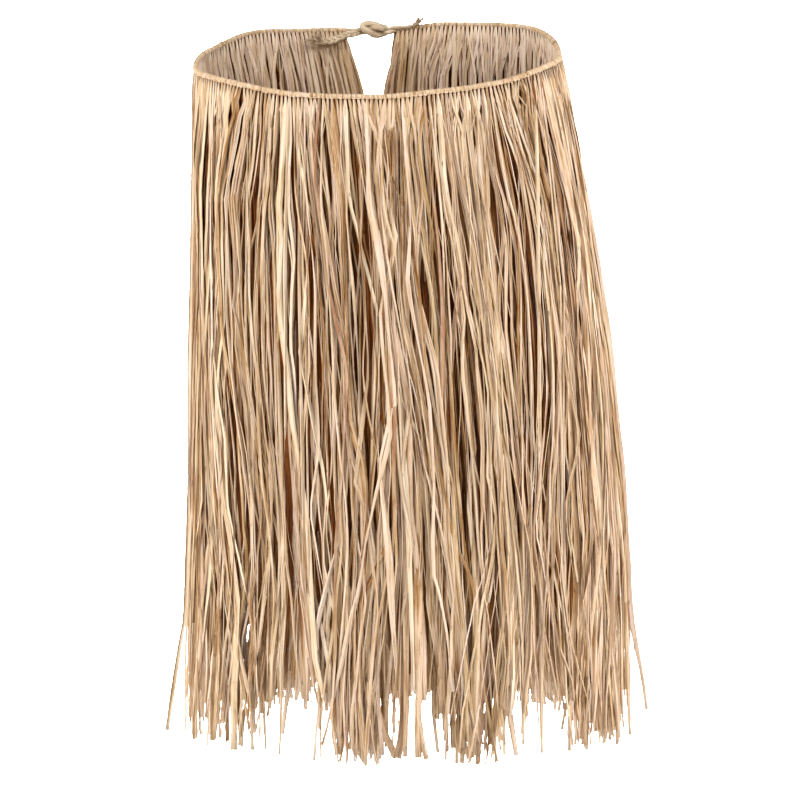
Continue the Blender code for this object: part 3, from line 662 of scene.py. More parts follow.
# the hanging fringe: how its strips are cut, looped and hung
fringe = {
    "heads": 220,
    "layers": (
        # places of the roots round each head (mm), out from the cord at the root and lower down (mm),
        # spread lower down (mm), width at the root and lower down (mm), tone, how much it varies, rust
        ((-0.66, 0.66), 2.5, 1.8, 1.8, 1.35, (1.6, 4.6), 0.69, 0.10, 0.05),
        # the middle strips: their tones differ at random, about a mean set darker and rustier than the outer
        # strips' as painted shade of their place behind them
        ((0.1,), 1.6, -2.4, 1.6, 1.6, (1.5, 4.0), 0.52, 0.15, 0.18),
        # the dark core: its near-black tone and heavy rust are painted shade, standing in for the shade deep
        # between the strips
        ((1.1, 3.5), -0.7, -6.2, 1.2, 2.5, (3.4, 5.6), 0.08, 0.07, 0.55),
        # the inner strips: their very pale tone is painted light, making up for light that hardly reaches the
        # inside of the skirt
        ((-0.70, 0.0, 0.70), -2.6, -9.4, 1.6, 1.3, (1.7, 4.6), 0.90, 0.11, 0.05),
    ),
    "levels": 34,
    "start": (2.5, 0.8),  # mm below the cord's centre: under the loops, or behind the cord
    "length": 0.75,  # metres
    "settles": (0.004, 0.055),  # the drops between which a strip leaves the cord's depth for its own
    "falls": (0.005, 0.060),  # and those between which it takes up its own line
    "openBy": (0.008, 0.018),  # the drop by which a strip has opened out
    "wideShare": 0.07,
    "wideWidth": (5.5, 8.0),  # mm
    "thickness": 0.30,  # mm
    "spread": 4.6,  # mm that a strip settles to one side of its head
    "bendEvery": (0.05, 0.15),  # metres: a strip hangs straight between soft bends
    "bends": 16,  # enough for the longest strip
    "bend": 5.2,  # mm to either side
    "ripple": 0.35,  # mm
    "clump": 1.6,  # mm: how much neighbours gather and part together
    "bunch": 1.3,  # mm: how far neighbours stand out together
    # slow waves of the whole wall: mm, radians per place and per metre of drop, and where it sets in
    "swells": ((1.6, 23, 5, 0.02, 0.2), (1.2, 61, -8, 0.05, 0.4)),
    # place round the waist, and how far the outer strips there sweep to the right as they fall (mm)
    "sweeps": (
        (-0.52, 0), (-0.42, -17), (-0.32, -27), (-0.24, -27), (-0.207, -24), (-0.204, -17), (-0.176, -14),
        (-0.172, 1), (-0.10, 4), (0.02, -5), (0.10, -6), (0.16, 2), (0.219, 4), (0.223, 12), (0.28, 15),
        (0.36, 12), (0.48, 0),
    ),
    "sweptBy": 0.13,
    "sweepFades": (0.22, 0.60),
    # how far the strips hang: place, drop. The clusters hang lower than the notches between them
    "hem": (
        (-1.00, 0.742), (-0.75, 0.747), (-0.50, 0.749), (-0.40, 0.744), (-0.31, 0.737), (-0.275, 0.720),
        (-0.255, 0.686), (-0.20, 0.672), (-0.155, 0.686), (-0.138, 0.733), (-0.12, 0.743), (-0.09, 0.740),
        (-0.06, 0.742), (-0.036, 0.735), (-0.028, 0.720), (-0.021, 0.668), (0.037, 0.668), (0.044, 0.720),
        (0.052, 0.735), (0.07, 0.742),
        (0.11, 0.742), (0.15, 0.744), (0.168, 0.733), (0.18, 0.686), (0.225, 0.672), (0.27, 0.686),
        (0.285, 0.722), (0.32, 0.739), (0.40, 0.745), (0.52, 0.749), (0.75, 0.747), (1.00, 0.742),
    ),
    # single strips: width (mm), tone, rust, how far out (mm), and their x (mm) at each drop (metres)
    "features": (
        (4.2, 0.92, 0.0, 4.6, ((-34, 0.003), (-30, 0.113), (-6, 0.213), (24, 0.336), (32, 0.448), (36, 0.559),
            (39, 0.660))),
        (8.6, 0.66, 0.1, 7.0, ((28, 0.003), (29, 0.336), (29, 0.600), (29, 0.695), (21.5, 0.736))),
        (7.4, 0.60, 0.1, 6.4, ((31, 0.003), (31, 0.336), (31, 0.600), (31, 0.690), (30, 0.734))),
        (1.5, 0.95, 0.0, 7.4, ((37, 0.003), (37, 0.600), (37, 0.660), (37, 0.732))),
        (7.4, 0.56, 0.2, 6.4, ((43, 0.003), (43, 0.600), (43, 0.690), (44, 0.734))),
        (8.6, 0.66, 0.1, 7.0, ((45, 0.003), (44, 0.336), (44.5, 0.600), (44.5, 0.695), (52.5, 0.736))),
        (1.1, 0.40, 0.1, 2.4, ((15, 0.003), (16, 0.600), (16.5, 0.665), (26, 0.716))),
        (1.1, 0.45, 0.1, 2.0, ((17, 0.003), (17, 0.600), (17, 0.728))),
        (1.1, 0.40, 0.1, 2.4, ((59, 0.003), (58, 0.600), (57, 0.665), (47, 0.716))),
        (1.1, 0.45, 0.1, 2.0, ((56, 0.003), (56, 0.600), (56.5, 0.728))),
        (3.9, 0.80, 0.0, 3.0, ((-94, 0.003), (-98, 0.225), (-102, 0.559), (-104, 0.738))),
        (3.6, 0.70, 0.1, 2.6, ((-84, 0.003), (-80, 0.448), (-78, 0.686))),
        (1.6, 0.70, 0.0, 3.0, ((-77, 0.003), (-74, 0.448), (-75, 0.660), (-80, 0.722))),
        (1.2, 0.80, 0.0, 3.0, ((-138, 0.003), (-136, 0.448), (-132, 0.652), (-128, 0.675), (-125, 0.728))),
        (1.1, 0.80, 0.0, 3.4, ((-134, 0.003), (-132, 0.448), (-130, 0.652), (-129, 0.718))),
        (3.9, 0.80, 0.0, 3.0, ((167, 0.003), (173, 0.336), (176, 0.559), (177, 0.738))),
        (2.3, 0.75, 0.0, 3.0, ((171, 0.003), (193, 0.225), (200, 0.559), (203, 0.680), (210, 0.730))),
        (2.3, 0.75, 0.0, 3.4, ((173, 0.003), (197, 0.225), (202, 0.559), (208, 0.670), (214, 0.729))),
        (1.6, 0.70, 0.0, 3.0, ((150, 0.003), (155, 0.448), (157, 0.660), (162, 0.722))),
        (4.8, 0.80, 0.0, 2.0, ((196, 0.003), (238, 0.220), (262, 0.431), (271, 0.554), (273, 0.616),
            (278, 0.646), (284, 0.674), (288, 0.699), (290, 0.718))),
        (1.2, 0.25, 0.2, 2.0, ((196, 0.003), (236, 0.220), (259, 0.431), (270, 0.554), (275, 0.643),
            (277, 0.700), (280, 0.750))),
        (3.8, 0.72, 0.0, 2.0, ((195, 0.003), (233, 0.220), (254, 0.431), (264, 0.554), (268, 0.643),
            (270, 0.746))),
        (1.2, 0.70, 0.0, 2.0, ((193, 0.003), (229, 0.220), (250, 0.431), (259, 0.554), (262, 0.643),
            (263, 0.750))),
        (4.4, 0.85, 0.0, 2.0, ((-196, 0.003), (-199, 0.220), (-203, 0.431), (-209, 0.554), (-211.5, 0.616),
            (-217, 0.647), (-223, 0.691), (-229, 0.742))),
        (1.3, 0.55, 0.0, 2.4, ((-194, 0.003), (-198, 0.220), (-200, 0.431), (-204, 0.643), (-205, 0.750))),
        (4.4, 0.70, 0.0, 2.0, ((-193, 0.003), (-196, 0.220), (-197, 0.431), (-197, 0.643), (-198, 0.746))),
        (1.2, 0.60, 0.0, 2.4, ((-190, 0.003), (-196, 0.220), (-193, 0.431), (-191, 0.643), (-190, 0.750))),
    ),
    # small holes in the outer strips: place, half opening, reach, opens at, widest at, closes at
    "holes": ((-0.283, 0.0042, 0.018, 0.004, 0.014, 0.036), (0.292, 0.0044, 0.020, 0.002, 0.016, 0.042)),
    "crossingShare": 0.12,
    "crossingSlope": (0.025, 0.075),
    "crossingDepth": (2.6, -11.5),  # mm out, for the outer strips and the inner ones
    "kinkShare": 0.45,
    "kink": 1.7,  # mm
    "kinkAt": (0.03, 0.72),  # drop
    "kinkReach": (0.015, 0.07),
    "twist": 0.75,  # radians
    "splitShare": 0.10,
    "splitAt": (0.25, 0.68),  # drop
    "thinning": -0.12,
    # the painted shade of the dark strips, the core's most of all, fades out towards the hem
    "tipPaler": (0.48, 0.70, 0.60),  # the dark strips grow paler between these drops, towards this tone
    # where some strips are short, so that the others hang apart: two places, share, drops of the short ones
    "openSides": (
        (-0.75, -0.61, 0.50, 0.52, 0.72), (-0.61, -0.39, 0.78, 0.50, 0.72), (-0.39, -0.27, 0.22, 0.54, 0.70),
        (0.29, 0.42, 0.22, 0.54, 0.70), (0.42, 0.60, 0.78, 0.50, 0.72), (0.60, 0.73, 0.50, 0.52, 0.72),
    ),
    # slits between strips, with light behind them, in the same order; the last one closes a gap instead
    "slits": (
        (-0.295, 0.0050, 0.022, 0.570, 0.615, 0.670), (-0.708, 0.0075, 0.030, 0.620, 0.680, 0.740),
        (-0.408, 0.0070, 0.026, 0.600, 0.680, 0.800), (-0.597, 0.0070, 0.030, 0.630, 0.705, 0.820),
        (0.450, 0.0050, 0.020, 0.530, 0.590, 0.650), (0.557, 0.0060, 0.030, 0.545, 0.610, 0.670),
        (-0.391, 0.0032, 0.016, 0.400, 0.460, 0.510), (-0.613, 0.0050, 0.030, 0.430, 0.490, 0.550),
        (-0.390, 0.0030, 0.014, 0.560, 0.605, 0.650), (-0.615, 0.0050, 0.030, 0.580, 0.645, 0.700),
        (-0.368, 0.0030, 0.014, 0.615, 0.645, 0.675), (-0.635, 0.0050, 0.030, 0.650, 0.685, 0.730),
        (-0.307, 0.0028, 0.014, 0.645, 0.672, 0.700), (-0.695, 0.0050, 0.030, 0.680, 0.720, 0.770),
        (0.455, 0.0032, 0.016, 0.450, 0.480, 0.510), (0.560, 0.0050, 0.030, 0.440, 0.495, 0.540),
        (0.309, 0.0028, 0.014, 0.585, 0.615, 0.645), (0.695, 0.0050, 0.030, 0.630, 0.665, 0.710),
        (0.325, 0.0030, 0.014, 0.650, 0.678, 0.705), (0.680, 0.0050, 0.030, 0.690, 0.725, 0.770),
        (0.386, 0.0030, 0.014, 0.655, 0.695, 0.760), (0.621, 0.0050, 0.030, 0.690, 0.735, 0.800),
        (-0.195, -0.0030, 0.016, 0.490, 0.540, 0.600),
    ),
    "ragged": 0.028,
    "shortShare": 0.10,
    "tipSlope": 0.085,  # how far the strips lean either way near the hem
    "tipLeansBelow": 0.50,
    "fan": 0.008,  # the place of the fan at the hem: the strips on either side lean away from it
    "fanSides": 0.06,  # how far round its neighbours reach
    "fanDepth": 6,  # mm: its ribbons are the single strips further out than this
    "fanHidden": (-1.8, 0.53, 0.62),  # they lie this far in (mm) and come out between these drops
    "seed": 5,
}


def clumpField(rng, waves):
    # the same sideways field for all strips: waves across the wall that slowly change down it
    return [(rng.uniform(0.022, 0.085), rng.uniform(0.45, 1.8) * rng.choice((-1, 1)), rng.uniform(0, 6.28))
            for wave in range(waves)]


clumps = clumpField(np.random.default_rng(fringe["seed"] + 1), 16)
bunches = clumpField(np.random.default_rng(fringe["seed"] + 3), 12)


def fieldAt(field, along, drop):
    # the longer waves are the stronger ones
    return sum(across / 0.05 * np.sin(2 * math.pi * (along / across + drop / down) + turn)
               for across, down, turn in field)


def sidewaysRuns(rng, base, drop, follow):
    # each strip hangs in straight runs between stops that it partly shares with its neighbours
    moved = np.zeros_like(drop)
    steps = rng.uniform(*fringe["bendEvery"], (len(drop), fringe["bends"]))
    stops = np.concatenate((np.zeros((len(drop), 1)), 0.006 + np.cumsum(steps, axis=1) - steps), axis=1)
    places = fringe["bend"] * rng.normal(0, 1, stops.shape) + fringe["clump"] * fieldAt(clumps, base, stops)
    places[:, :2] = 0
    for strip in range(len(drop)):
        moved[strip] = np.interp(drop[strip], stops[strip], places[strip])
    return moved * follow * mm


def sweepShift(place, drop):
    places, amounts = np.array(fringe["sweeps"]).T
    swept = np.clip(drop / fringe["sweptBy"], 0, 1) * (1 - smoothStep(drop, *fringe["sweepFades"]))
    return np.interp(place, places, amounts) * mm * swept


def slitShift(along, drop):
    # strips keep to their side of each slit
    moved = np.zeros_like(drop)
    for start, opening, reach, opens, widest, closes in fringe["slits"]:
        away = along - start * halfLength(start, drop)
        nearest = np.clip((drop < widest).sum(1), 0, drop.shape[1] - 1)[:, None]
        side = np.sign(np.take_along_axis(away, nearest, 1))
        amount = smoothStep(drop, opens, widest) * (1 - smoothStep(drop, widest, closes))
        moved = moved + side * opening * np.clip(1 - np.abs(away) / reach, 0, None) * amount
    return moved


def alongFront(stops, drop):
    # the way along the front wall for a strip whose x is known, and how far it stands out beyond the side
    along, beyond = np.zeros_like(drop), np.zeros_like(drop)
    x = np.interp(drop, [stop[1] for stop in stops], [stop[0] * mm for stop in stops])
    for level, height in enumerate(drop):
        row = min(int(height / gridDrops[1]), len(gridDrops) - 2)
        share = height / gridDrops[1] - row
        line = planX[row] * (1 - share) + planX[row + 1] * share
        first, last = line.argmin(), line.argmax()
        inside = np.clip(x[level], line[first] + mm, line[last] - mm)
        place = np.interp(inside, line[first:last + 1], gridPlaces[first:last + 1])
        along[level] = place * halfLength(place, height)
        beyond[level] = abs(x[level] - inside)
    return along, beyond


def bendStrips(rng, follow, base, drop, fall):
    # how far the strips stray along the wall: straight runs with a fine ripple, and the sudden kinks
    count = len(drop)
    wander = sidewaysRuns(rng, base[:, :1], drop, follow)
    wander = wander + fringe["ripple"] * mm * smoothNoise(rng, (6.0, 11.0), drop) * fall
    kinkAt = rng.uniform(*fringe["kinkAt"], (count, 1))
    kink = np.clip(1 - np.abs(drop - kinkAt) / rng.uniform(*fringe["kinkReach"], (count, 1)), 0, None)
    kink = kink * rng.normal(0, fringe["kink"], (count, 1)) * mm
    kink = kink * (rng.random((count, 1)) < fringe["kinkShare"]) * follow
    return wander, kink


def leanTips(rng, place, drop, follow):
    # near the hem the strips lean either way, but those beside the fan lean away from it
    leaning = np.clip(drop - fringe["tipLeansBelow"], 0, None) * follow
    leans = rng.normal(0, fringe["tipSlope"], (len(drop), 1))
    fromFan = place - fringe["fan"]
    away = np.abs(leans) * np.sign(fromFan) * np.clip(2 - np.abs(fromFan) / fringe["fanSides"], 0.3, 1)
    return np.where(np.abs(fromFan) < 2 * fringe["fanSides"], away, leans) * leaning


def foldStrips(rng, cut, drop, fall, closes):
    # the ribbons themselves: half width, twist, and how high and where the two creases stand.
    # Towards the tip most strips stay wide and some come to a point
    count = len(drop)
    width = cut["width"]
    opened = smoothStep(drop, fringe["settles"][0], rng.uniform(*fringe["openBy"], (count, 1)))
    half = (np.minimum(cut["rootWidth"], width) * (1 - opened) + width * opened) / 2
    half = half * (1 + 0.22 * smoothNoise(rng, (1.5, 4.0), drop) * fall)
    half = half * (1 - fringe["thinning"] * smoothStep(drop, 0.35, 0.65))
    closing = rng.choice((0.1, 0.35, 0.85), (count, 1), p=(0.45, 0.35, 0.20)) * closes
    pointed = smoothStep(drop / cut["tip"], rng.uniform(0.80, 0.95, (count, 1)), 1.0)
    half = half * (1 - closing * pointed)
    half = np.maximum(half, 0.22) * mm
    twist = rng.normal(0, 0.5, (count, 1)) + smoothNoise(rng, (0.8, 2.0), drop)
    twist = twist * cut["twist"] * fall
    edges = np.ones(count)
    creases = np.stack((-edges, rng.uniform(-0.65, -0.15, count), rng.uniform(0.15, 0.65, count), edges), -1)
    lift = rng.uniform(0.25, 0.85, count) * rng.choice((-1, 1), count, p=(0.25, 0.75))
    lifts = np.stack((rng.normal(0, 0.12, count), lift, lift * rng.uniform(0.1, 1.0, count),
                      rng.normal(0, 0.15, count)), -1)
    folding = 1.0 + 0.30 * smoothNoise(rng, (1.0, 2.7), drop)
    return half, twist, lifts[:, None, :] * np.maximum(folding, 0.2)[..., None], creases


def hangStrips(rng, cut):
    # cut holds one value for each strip, here in columns; the single strips have routes as well
    routes = cut.get("routes", ())
    cut = {key: np.asarray(values)[:, None] for key, values in cut.items() if key != "routes"}
    place = cut["place"]
    fraction = np.linspace(0, 1, fringe["levels"]) ** 1.1
    start = np.where(cut["rootOut"] > 0, *fringe["start"]) * mm
    drop = start + (cut["tip"] - start) * fraction
    fall, settled = smoothStep(drop, *fringe["falls"]), smoothStep(drop, *fringe["settles"])
    base = place * halfLength(place, drop)
    wander, kink = bendStrips(rng, cut["follow"], base, drop, fall)
    swept = sweepShift(place, drop) + partedShift(fringe["holes"], place, drop)
    along = base + fallingShift(place, drop) + swept * cut["swept"]
    along = along + (cut["rootAside"] * (1 - fall) + cut["aside"] * fall) * mm
    along = along + wander + kink + cut["slope"] * (drop - 0.3 * cut["tip"]) * fall
    along = along + leanTips(rng, place, drop, cut["follow"])
    along = along + slitShift(along, drop)
    beyond = np.zeros_like(drop)
    depth = cut["depth"] + 0 * drop
    for row, stops in enumerate(routes):
        along[row], beyond[row] = alongFront(stops, drop[row])
    if routes:
        hidden, first, last = fringe["fanHidden"]
        depth = np.where(depth > fringe["fanDepth"],
                         hidden + (depth - hidden) * smoothStep(drop, first, last), depth)
    swell = sum(size * np.sin(turn * place + slope * drop) * smoothStep(drop, first, last)
                for size, turn, slope, first, last in fringe["swells"])
    swell = swell + fringe["bunch"] * fieldAt(bunches, base, drop) * 0.4 * smoothStep(drop, 0.02, 0.12)
    outward = (cut["rootOut"] * (1 - settled) + depth * settled + swell
               + smoothNoise(rng, (0.9, 2.2, 5.0), drop) * fall) * mm
    outward = outward + cut["flyOut"] * smoothStep(drop, 0.45, 0.75) + beyond

    # a split strip lies beside its mate until the two part
    split = np.flatnonzero(cut["mate"] >= 0)
    mate = cut["mate"][split, 0]
    beside = np.sign(cut["aside"][split]) * (cut["width"][split] + cut["width"][mate]) * 0.42 * mm
    parted = np.clip(drop[split] - cut["splitAt"][split], 0, None)
    together = smoothStep(drop[split], 0.02, 0.10)
    along[split] += (along[mate] + beside + np.sign(beside) * 0.035 * parted - along[split]) * together
    outward[split] += (outward[mate] + 0.3 * mm - outward[split]) * together

    x, y, tangent, outside = planFrame(along, drop)
    if routes:
        tangent = np.zeros_like(tangent) + (1.0, 0.0, 0.0)
    line = np.stack((x, y, cordHeight(x, y) * (1 - smoothStep(drop, 0, form["levelAt"])) - drop), -1)
    line = line + outside * outward[..., None]
    half, twist, lifts, creases = foldStrips(rng, cut, drop, fall, 0.3 if routes else 1)
    corners = ribbonCorners(line, tangent, twist, half, lifts, creases, fringe["thickness"] * mm)

    # towards the hem the dark strips lose their painted shade, and all strips lose some of their rust
    first, last, paleTone = fringe["tipPaler"]
    paler = smoothStep(drop, first, last)
    tone = cut["tone"] + np.maximum(paleTone - cut["tone"], 0) * paler
    tone = np.stack((tone, cut["rust"] * (1 - 0.7 * paler), rng.random(place.shape) + 0 * drop,
                     drop / 0.8), -1)
    return corners, tone, roundRibbon * cut["width"]


headAlong = np.linspace(slitLeft[0], slitRight[0], fringe["heads"])
headPlace = headAlong / np.where(headAlong > 0, halfRight[0], halfLeft[0])


def clearOfSlit(place):
    # nothing hangs across the V at the back
    return np.clip(np.minimum(place - headPlace[0], headPlace[-1] - place) * 8, 0, 1)


def cutOf(**values):
    # what hangStrips has to know of each strip: a single number is the same for all of them
    plain = {"aside": 0.0, "rootAside": 0.0, "swept": 0.0, "slope": 0.0, "follow": 0.0,
             "mate": -1, "splitAt": 1.0, "flyOut": 0.0}
    return {key: np.full(len(values["place"]), value) if isinstance(value, (int, float)) else value
            for key, value in {**plain, **values}.items()}


def cutStrips():
    rng = np.random.default_rng(fringe["seed"])
    rows = []
    for place in headPlace:
        for roots, rootOut, depth, spread, rootWidth, widths, tone, varies, rust in fringe["layers"]:
            for turn, root in enumerate(roots):
                rows.append((
                    place, 2 * turn - 1, root, rootOut, depth + spread * rng.uniform(-1, 1), rootWidth,
                    rng.uniform(*widths), rng.normal(tone, varies), rng.normal(rust, 0.5 * rust), depth))
    place, side, root, rootOut, depth, rootWidth, width, tone, rust, layer = np.array(rows).T
    count = len(place)
    # the four layers: outer, middle, a dark core behind them whose near-black, rusty tone is painted shade in
    # the gaps between strips, and inner strips whose pale tone is painted light
    outer, core, inner = layer > 0, (layer < -3) & (layer > -8), layer < -8
    clear = clearOfSlit(place)
    wide = outer & (rng.random(count) < fringe["wideShare"])
    width = np.where(wide, rng.uniform(*fringe["wideWidth"], count), width)
    # a few are rusty, most of them at one place
    rusty = rng.random(count) < 0.05 + 0.3 * np.exp(-((place - 0.43) / 0.025) ** 2)
    rust = np.where(rusty, rng.uniform(0.4, 0.9, count), rust)
    crossing = ~core & (rng.random(count) < fringe["crossingShare"])
    slope = np.where(crossing, rng.choice((-1, 1), count) * rng.uniform(*fringe["crossingSlope"], count),
                     rng.normal(0, 0.007, count) * (layer > -3)) * clear

    # no strip leans towards the fan beside it, and few do a little further on
    fromFan = place - fringe["fan"]
    beyondFan = np.abs(fromFan) - fringe["fanSides"]
    slope = np.where(beyondFan < 0, np.abs(slope) * np.sign(fromFan), slope)
    slope = np.where(slope * fromFan < 0, slope * np.clip(beyondFan / 0.10, 0, 1), slope)
    slope = np.where(inner, 1.5 * slope, slope)
    outerDepth, innerDepth = fringe["crossingDepth"]
    depth = np.where(crossing, np.where(inner, innerDepth, outerDepth) + 0.8 * rng.random(count), depth)
    tip = easedTable(fringe["hem"], place) + 0.004
    tip = tip - fringe["ragged"] * rng.random(count) ** 2 - 0.024 * core * rng.random(count)
    tip = np.where(rng.random(count) < fringe["shortShare"], tip - rng.uniform(0.02, 0.20, count), tip)
    for first, last, share, shortest, longest in fringe["openSides"]:
        chosen = (place > first) & (place < last) & (rng.random(count) < share)
        tip = np.where(chosen, rng.uniform(shortest, longest, count), tip)

    # a split strip belongs to the one before it, unless that one is split too
    mate = np.where(outer & (rng.random(count) < fringe["splitShare"]), np.arange(count) - 1, -1)
    mate[mate >= 0] = np.where(mate[mate[mate >= 0]] >= 0, -1, mate[mate >= 0])
    tip = np.where(mate >= 0, tip[mate] - 0.006 * rng.random(count), tip)
    # beside the V the core's painted shade and the inner strips' painted light give way to a plain mid tone
    # without rust
    edge = (1 - clear) * (core | inner)
    tone, rust = tone + (0.62 - tone) * edge, rust * (1 - edge)
    aside = np.where(core, root + rng.normal(0, 0.4, count),
                     side * rng.uniform(0.15, 1.0, count) * fringe["spread"])
    return rng, cutOf(
        place=place, aside=aside, rootAside=root, rootOut=rootOut, rootWidth=rootWidth,
        swept=np.where(layer > -3, 1.0, 0.0), depth=depth, width=width, tip=tip, slope=slope,
        tone=np.clip(tone, 0.03, 0.93), rust=np.clip(rust, 0, 1),
        twist=np.where(outer, 1.0, np.where(core, 0.15, 0.6)) * fringe["twist"],
        follow=np.where(inner, 0.7, np.where(core, 0.22, 1.0)) * (0.3 + 0.7 * clear),
        mate=mate, splitAt=rng.uniform(*fringe["splitAt"], count))


# strips that are easy to pick out: ribbons, the fan at the middle of the hem and single strips beside it
def cutFeatures():
    width, tone, rust, depth = np.array([row[:4] for row in fringe["features"]]).T
    routes = [row[4] for row in fringe["features"]]
    firstX = np.array([stops[0][0] * mm for stops in routes])
    front = slice(planX[0].argmin(), planX[0].argmax() + 1)
    return np.random.default_rng(fringe["seed"] + 4), cutOf(
        place=np.interp(firstX, planX[0][front], gridPlaces[front]), rootOut=2.6, rootWidth=1.6,
        depth=depth, width=width, tip=np.array([stops[-1][1] for stops in routes]), tone=tone, rust=rust,
        twist=0.15, routes=routes)


# a few stray fibres that lie across the others, some of them below the hem
strays = {
    "count": 190,
    "width": (0.55, 1.3),  # mm
    "slope": 0.05,
    "hangsLower": (-0.060, 0.012),
    "lowest": 0.750,
    "clearOfFan": 0.07,
    # loose strips at the sides: place, outward at the tip, drop of the tip, width (mm)
    "loose": (
        (-0.440, 0.010, 0.735, 3.2), (0.470, 0.008, 0.742, 2.6),
        (-0.475, 0.016, 0.705, 1.0), (0.505, 0.014, 0.680, 1.2),
    ),
}


def cutStrays():
    rng = np.random.default_rng(fringe["seed"] + 2)
    place = rng.choice(headPlace, strays["count"])
    lower = rng.uniform(*strays["hangsLower"], strays["count"])
    tip = np.minimum(easedTable(fringe["hem"], place) + lower, strays["lowest"])
    width = rng.uniform(*strays["width"], strays["count"])
    flyOut = np.zeros(strays["count"])
    place, flyOut, tip, width = np.concatenate(
        (np.stack((place, flyOut, tip, width), 1), np.array(strays["loose"]))).T
    count = len(place)
    steady = (flyOut == 0) * clearOfSlit(place) * (np.abs(place - fringe["fan"]) > strays["clearOfFan"])
    return rng, cutOf(
        place=place, aside=rng.uniform(-1, 1, count) * fringe["spread"], rootAside=rng.uniform(-1, 1, count),
        rootOut=2.5, rootWidth=1.5, swept=1.0, depth=rng.uniform(2.0, 4.2, count), width=width, tip=tip,
        slope=rng.normal(0, strays["slope"], count) * steady, tone=rng.uniform(0.45, 0.9, count),
        rust=rng.uniform(0, 0.3, count), twist=0.6, follow=0.6, flyOut=flyOut)


def nodeOf(places):
    # each strip goes with the node that its loop hangs over
    rimHeight = 0.012
    names = sorted(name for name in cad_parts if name.startswith("fringe_"))
    middles = []
    for name in names:
        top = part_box(name)[1][2]
        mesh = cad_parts[name].data
        points = np.zeros(len(mesh.vertices) * 3, np.float32)
        mesh.vertices.foreach_get("co", points)
        points = points.reshape(-1, 3)
        rim = points[points[:, 2] > top - rimHeight]
        middles.append(math.atan2(rim[:, 0].mean(), -rim[:, 1].mean()))
    x, y = planPoint(places * halfLength(places, 0 * places), 0 * places)
    gap = np.abs(np.arctan2(x, -y)[:, None] - np.array(middles)[None, :])
    return np.array(names)[np.minimum(gap, 2 * math.pi - gap).argmin(1)]


def addFringe():
    cuts = (cutStrips(), cutStrays(), cutFeatures())
    strips = [hangStrips(*cut) for cut in cuts]
    corners, tone, across = (np.concatenate([kind[part] for kind in strips]) for part in range(3))
    owner = nodeOf(np.concatenate([cut["place"] for rng, cut in cuts]))
    for name in np.unique(owner):
        mine = owner == name
        words = name.split("_")
        piece = stripMesh(words[0] + "".join(word.capitalize() for word in words[1:]),
                          corners[mine], tone[mine], across[mine])
        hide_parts(str(name))
    print("fringe made:", len(owner), "strips")


addFringe()


# the loops that hold the strips: two flat wraps over the cord and a short bar across them
loops = {
    # all in mm, but for the wraps' turn in degrees and the number of levels
    "wrapWidth": 2.60,
    "wrapTurn": (-62, 242),
    "wrapSkew": 0.30,
    "thickness": 0.5,
    "spacing": 1.10,
    "barReach": 2.35,
    "barWidth": 2.2,
    "barDrop": 1.2,
    "barTilt": 0.40,
    "levels": 12,
    "tone": 0.66,
    "rust": 0.04,
    "seed": 8,
}


def domedRibbons(line, side, half, edge, middle):
    lifts = np.array((edge, middle, middle, edge)) + np.zeros(half.shape + (1,))
    creases = np.tile((-1.0, -0.45, 0.45, 1.0), (len(line), 1))
    return ribbonCorners(line, side, 0 * half, half, lifts, creases, loops["thickness"] * mm)


